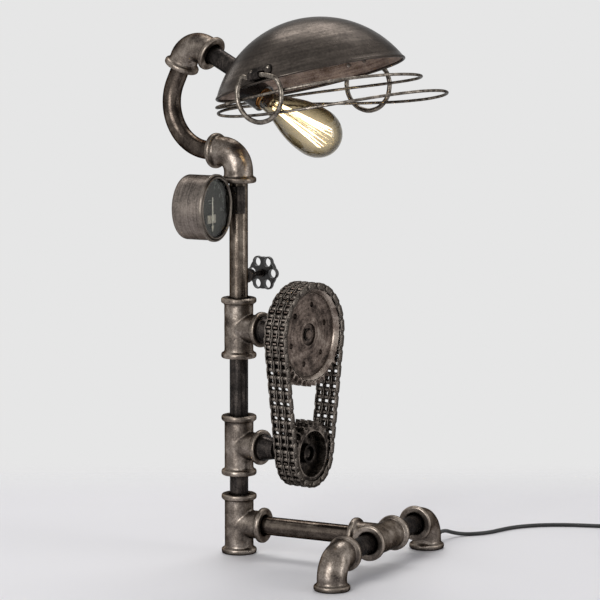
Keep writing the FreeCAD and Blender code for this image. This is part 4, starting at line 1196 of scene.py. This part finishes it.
@dataclass
class Gauge:
    """Drum gauge's printed dial, turned bezel and hand, seen from the front through flat glass."""

    centre_out: float = 1.5
    centre_aside: float = 57.9
    height: float = 441.0
    dial_r: float = 38.15
    sight_r: float = 36.1
    face_at: float = -10.0
    back_at: float = -11.0
    lens_back: float = -4.6
    sweep: float = 200.0
    divisions: int = 40
    mark_r: float = 33.5
    ink: float = 0.12
    number_r: float = 25.5
    number_high: float = 6.0
    bezel_in_r: float = 40.02
    bezel_out_r: float = 41.6
    bezel_back: float = -5.0
    needle_plane: float = -8.4
    pivot_drop: float = 14.0
    reach: float = 27.0
    tail: float = 15.0

    def place(self) -> Matrix:
        """Find the gauge's place.

        Returns:
            Its matrix, with local Z out of the face and local X up.
        """
        turn = math.radians(GAUGE_TURN)
        front = Vector((math.cos(turn), math.sin(turn), 0))
        right = Vector((-math.sin(turn), math.cos(turn), 0))
        return facing(front, front * self.centre_out - right * self.centre_aside + Z * self.height, Z)

    def print_bar(
        self, shape: bmesh.types.BMesh, angle: float, at: tuple, size: tuple, colour: int = 1
    ) -> None:
        """Print one raised bar on the face.

        Args:
            shape: the dial's mesh.
            angle: turn about the face's middle, in radians.
            at: its middle up, aside and out from the face's middle, before the turn.
            size: its size in the same directions.
            colour: number of its finish.
        """
        spot = Matrix.Rotation(angle, 4, "Z") @ Matrix.Translation(at) @ Matrix.Diagonal((*size, 1))
        made = bmesh.ops.create_cube(shape, size=1.0, matrix=self.place() @ spot)
        for face in {face for vert in made["verts"] for face in vert.link_faces}:
            face.material_index = colour

    def dial(self) -> None:
        """Press the dial and print its marks, two lines of small print and its label."""
        shape = bmesh.new()
        outline = [
            (0, self.back_at), (self.dial_r, self.back_at), (self.dial_r, self.lens_back),
            (self.sight_r, self.lens_back), (self.sight_r, self.face_at + 1.0),
            (self.sight_r - 0.8, self.face_at), (0, self.face_at),
        ]
        turned(shape, outline, 96, self.place())
        printed = self.face_at + self.ink / 2
        for i in range(self.divisions + 1):
            angle = math.radians(-self.sweep / 2 + self.sweep * i / self.divisions)
            length, wide = (2.4, 0.5) if i % 4 else (4.4, 0.9)
            self.print_bar(shape, angle, (self.mark_r - length / 2, 0, printed), (length, wide, self.ink))
        for long, up in ((16.0, 9.0), (11.0, 5.5)):
            self.print_bar(shape, 0, (up, 0, printed), (0.7, long, self.ink))
        self.print_bar(shape, 0, (-self.pivot_drop, 0, self.face_at + 0.45), (10, 21, 0.9), 2)
        paints = [DIAL_PAINT, DIAL_INK, LABEL_PAINT]
        finished("gauge_face", shape, paints, Body.STAND, Slot.DIAL, ("gauge_dial",), 30)

    def numbers(self) -> None:
        """Print the even numbers from 0 to 10 round the face."""
        joined = bmesh.new()
        for i in range(0, 11, 2):
            angle = math.radians(-self.sweep / 2 + self.sweep * i / 10)
            data = bpy.data.curves.new("number", "FONT")
            data.body = str(i)
            data.size = self.number_high
            data.align_x = "CENTER"
            data.align_y = "CENTER"
            data.extrude = self.ink / 2
            number = worked_out("number", data)
            up, aside = self.number_r * math.cos(angle), -self.number_r * math.sin(angle)
            upright = Matrix.Rotation(-math.pi / 2, 4, "Z")
            number.transform(self.place() @ Matrix.Translation((up, aside, self.face_at + 0.08)) @ upright)
            add_in(joined, number)
        finished("gauge_numbers", joined, [DIAL_INK], Body.STAND, Slot.DIAL, (), 30)

    def bezel(self) -> None:
        """Turn the bezel: two rounded beads with a dark groove between them."""
        shape = bmesh.new()
        outline = [(self.bezel_in_r, self.bezel_back), (self.bezel_out_r, self.bezel_back)]
        for middle, radius, low in ((40.45, 1.15, -2.3), (37.35, 1.25, -1.4)):
            for i in range(7):
                angle = math.pi * i / 6
                outline.append((middle + radius * math.cos(angle), low + radius * math.sin(angle)))
        outline += [(self.sight_r, -3.0), (self.bezel_in_r, -3.0), (self.bezel_in_r, self.bezel_back)]
        turned(shape, outline, 128, self.place())
        finished("gauge_rim", shape, [BEZEL_STEEL], Body.STAND, Slot.CASE, ("gauge_bezel",), 60)

    def hand(self) -> None:
        """Cut the hand: a tapering pointer with an arrow tail on a round boss."""
        shape = bmesh.new()
        pivot = self.place() @ Matrix.Translation((-self.pivot_drop, 0, self.needle_plane))
        turned(shape, [(0, -0.6), (3, -0.6), (3, 0.7), (2.4, 1.2), (0, 1.2)], 32, pivot)
        turned(shape, [(0, -10), (1.4, -10), (1.4, -0.5), (0, -0.5)], 16, pivot)
        for start, end, near, far in (
            (-3.0, self.reach, 3.6, 2.0), (-self.tail, -2.0, 1.6, 1.6), (-self.tail, -8.0, 1.2, 5.6),
        ):
            bar = bmesh.new()
            middle = (start + end) / 2
            size = Matrix.Diagonal((end - start, 1, 0.5, 1))
            bmesh.ops.create_cube(bar, size=1.0, matrix=Matrix.Translation((middle, 0, 0.45)) @ size)
            for vert in bar.verts:
                vert.co.y *= near if vert.co.x < middle else far
            eased(bar, list(bar.edges), 0.12)
            bar.transform(pivot)
            add_in(shape, bar)
        finished("gauge_hand", shape, [NEEDLE_PAINT], Body.NEEDLE, Slot.NEEDLE, ("gauge_needle",), 30)

    def build(self) -> None:
        """Make the dial, its numbers, the bezel and the hand."""
        self.dial()
        self.numbers()
        self.bezel()
        self.hand()


@dataclass
class RollerChain:
    """Three-strand roller chain round both wheels, from one low-cost link of each kind."""

    pitch: float = 9.525
    links: int = 64
    strand_step: float = 10.24
    roller_r: float = 3.175
    roller_len: float = 5.72
    plate_high: float = 8.2
    inner_plate: float = 1.3
    outer_plate: float = 1.04
    outer_plates_at: tuple[float, ...] = (-14.94, -5.12, 5.12, 14.94)
    pin_r: float = 1.64
    pin_half: float = 16.06
    big_teeth: int = 40
    small_teeth: int = 25
    middle_out: float = 100.5
    facets: int = 12

    def joint(self, index: int) -> Vector:
        """Find the centre of one joint.

        Args:
            index: number of the joint, counted from the top of the big wheel.

        Returns:
            Its place in millimetres.
        """
        big_r = self.pitch / (2 * math.sin(math.pi / self.big_teeth))
        small_r = self.pitch / (2 * math.sin(math.pi / self.small_teeth))
        lean = math.asin((big_r - small_r) / AXLE_DISTANCE)
        over = self.big_teeth * (0.25 + lean / (2 * math.pi))
        run = AXLE_DISTANCE * math.cos(lean) / self.pitch
        step = index % self.links
        mirror = 1
        if step > self.links / 2:
            step, mirror = self.links - step, -1
        if step <= over:
            angle = math.pi / 2 - 2 * math.pi * step / self.big_teeth
            side, up = big_r * math.cos(angle), AXLE_DISTANCE + big_r * math.sin(angle)
        elif step <= over + run:
            travel = (step - over) * self.pitch
            side = big_r * math.cos(lean) - travel * math.sin(lean)
            up = AXLE_DISTANCE - big_r * math.sin(lean) - travel * math.cos(lean)
        else:
            angle = -lean - 2 * math.pi * (step - over - run) / self.small_teeth
            side, up = small_r * math.cos(angle), small_r * math.sin(angle)
        return Vector((self.middle_out, mirror * side, LOWER_AXLE + up))

    def plate(self, shape: bmesh.types.BMesh, middle: float, thick: float) -> None:
        """Punch one plate: two round ends joined by straight sides, edges eased.

        Args:
            shape: the link's mesh.
            middle: height of the plate's middle.
            thick: its thickness.
        """
        turn = Matrix.Rotation(math.pi / self.facets, 4, "Z")
        made = bmesh.ops.create_circle(
            shape, cap_ends=True, segments=self.facets, radius=self.plate_high / 2, matrix=turn
        )["verts"]
        for vert in made:
            vert.co.x += math.copysign(self.pitch / 2, vert.co.x)
        face = made[0].link_faces[0]
        raised = bmesh.ops.extrude_face_region(shape, geom=[face])["geom"]
        top = [item for item in raised if isinstance(item, bmesh.types.BMVert)]
        bmesh.ops.translate(shape, verts=top, vec=(0, 0, thick))
        bmesh.ops.translate(shape, verts=made + top, vec=(0, 0, middle - thick / 2))
        edges = {edge for vert in made + top for edge in vert.link_edges}
        flat = [edge for edge in edges if abs(edge.verts[0].co.z - edge.verts[1].co.z) < 1e-6]
        eased(shape, flat, 0.28)

    def bars(self, shape: bmesh.types.BMesh, radius: float, half: float, middle: float) -> None:
        """Put a round bar on each of a link's two joints, with eased ends.

        Args:
            shape: the link's mesh.
            radius: the bars' radius.
            half: half their length.
            middle: height of their middle.
        """
        ease = min(0.35, radius / 4)
        outline = [(0, -half), (radius - ease, -half), (radius, -half + ease), (radius, half - ease),
                   (radius - ease, half), (0, half)]
        for side in (-1, 1):
            turned(shape, outline, self.facets, Matrix.Translation((side * self.pitch / 2, 0, middle)))

    def inner_link(self) -> bmesh.types.BMesh:
        """Make a link of three strands, with two plates and two rollers each.

        Returns:
            Its mesh, with its length along X.
        """
        shape = bmesh.new()
        at = (self.roller_len + self.inner_plate) / 2
        for middle in (-self.strand_step, 0.0, self.strand_step):
            self.plate(shape, middle - at, self.inner_plate)
            self.plate(shape, middle + at, self.inner_plate)
            self.bars(shape, self.roller_r, self.roller_len / 2, middle)
        bmesh.ops.recalc_face_normals(shape, faces=shape.faces)
        return shape

    def outer_link(self) -> bmesh.types.BMesh:
        """Make a link of two outside and two shared plates on two long pins.

        Returns:
            Its mesh, with its length along X.
        """
        shape = bmesh.new()
        for middle in self.outer_plates_at:
            self.plate(shape, middle, self.outer_plate)
        self.bars(shape, self.pin_r, self.pin_half, 0)
        bmesh.ops.recalc_face_normals(shape, faces=shape.faces)
        return shape

    def build(self) -> None:
        """Lay both kinds of link round the wheels."""
        kinds = (
            ("chain_roller_links", self.inner_link(), 0, "chain_inner_links"),
            ("chain_pin_links", self.outer_link(), 1, "chain_outer_links"),
        )
        for name, link, first, node in kinds:
            laid = bmesh.new()
            for index in range(first, self.links, 2):
                near, far = self.joint(index), self.joint(index + 1)
                copy = link.copy()
                copy.transform(facing(X, (near + far) / 2, far - near))
                add_in(laid, copy)
            link.free()
            finished(name, laid, [CHAIN_STEEL], Body.STAND, Slot.CHAIN, (node,), 50)


@dataclass
class Sprockets:
    """The two sprockets, with eased rims and, on the big one, a dished ring round its web."""

    front_x: float = 113.34
    ring_from: float = 51.4
    ring_to: float = 52.6
    dished_r: float = 56.3

    def cut(self, node: str) -> bmesh.types.BMesh:
        """Copy a CAD node's mesh and merge its loose triangles.

        Args:
            node: the node's name.

        Returns:
            The mesh in millimetres.
        """
        shape = bmesh.new()
        shape.from_mesh(frame["nodes"][node].data)
        bmesh.ops.remove_doubles(shape, verts=shape.verts, dist=2e-6)
        shape.transform(Matrix.Scale(1 / MM, 4))
        return shape

    def build(self) -> None:
        """Dish the big wheel's front and dress both wheels."""
        big = self.cut("big_sprocket")
        for vert in big.verts:
            away = Vector((vert.co.y, vert.co.z - UPPER_AXLE))
            if vert.co.x > self.front_x - 0.1 and self.ring_from < away.length < self.ring_to:
                away *= self.dished_r / away.length
                vert.co.y, vert.co.z = away.x, UPPER_AXLE + away.y
        small = self.cut("small_sprocket")
        for name, wheel, finish, body, node in (
            ("big_wheel", big, BIG_SPROCKET_STEEL, Body.DRIVE, "big_sprocket"),
            ("small_wheel", small, SMALL_SPROCKET_STEEL, Body.DRIVEN, "small_sprocket"),
        ):
            finished(name, wheel, [finish], body, Slot.SPROCKET, (node,), 35)


def dress_carried() -> None:
    """Give every CAD node that stays its own finish."""
    for finish, nodes in CARRIED.items():
        for name in nodes:
            data = frame["nodes"][name].data
            data.materials.clear()
            data.materials.append(finish.material())
            LOG.info("%s: %s", name, finish.name)


def write_sizes() -> None:
    """Measure the CAD box and the visual model's box and put them in a table that is not kept."""
    boxes = {"cad": MODEL_BOX, "visual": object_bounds()}
    {name: [list(corner) for corner in box] for name, box in boxes.items()}


def main() -> None:
    """Build the scene: camera and lead first, then the pieces, the finishes and the light."""
    logging.basicConfig(level=logging.INFO, format="%(message)s")
    studio = Studio()
    studio.shoot()
    for part in (MainsLead(), PipeWork(), Bowl(), Filament(), Gauge(), RollerChain(), Sprockets()):
        part.build()
        LOG.info("%s built", type(part).__name__)
    dress_carried()
    studio.lay_floor()
    studio.light()
    bpy.context.scene.view_settings.view_transform = "Standard"
    write_sizes()


if __name__ == "__main__":
    main()
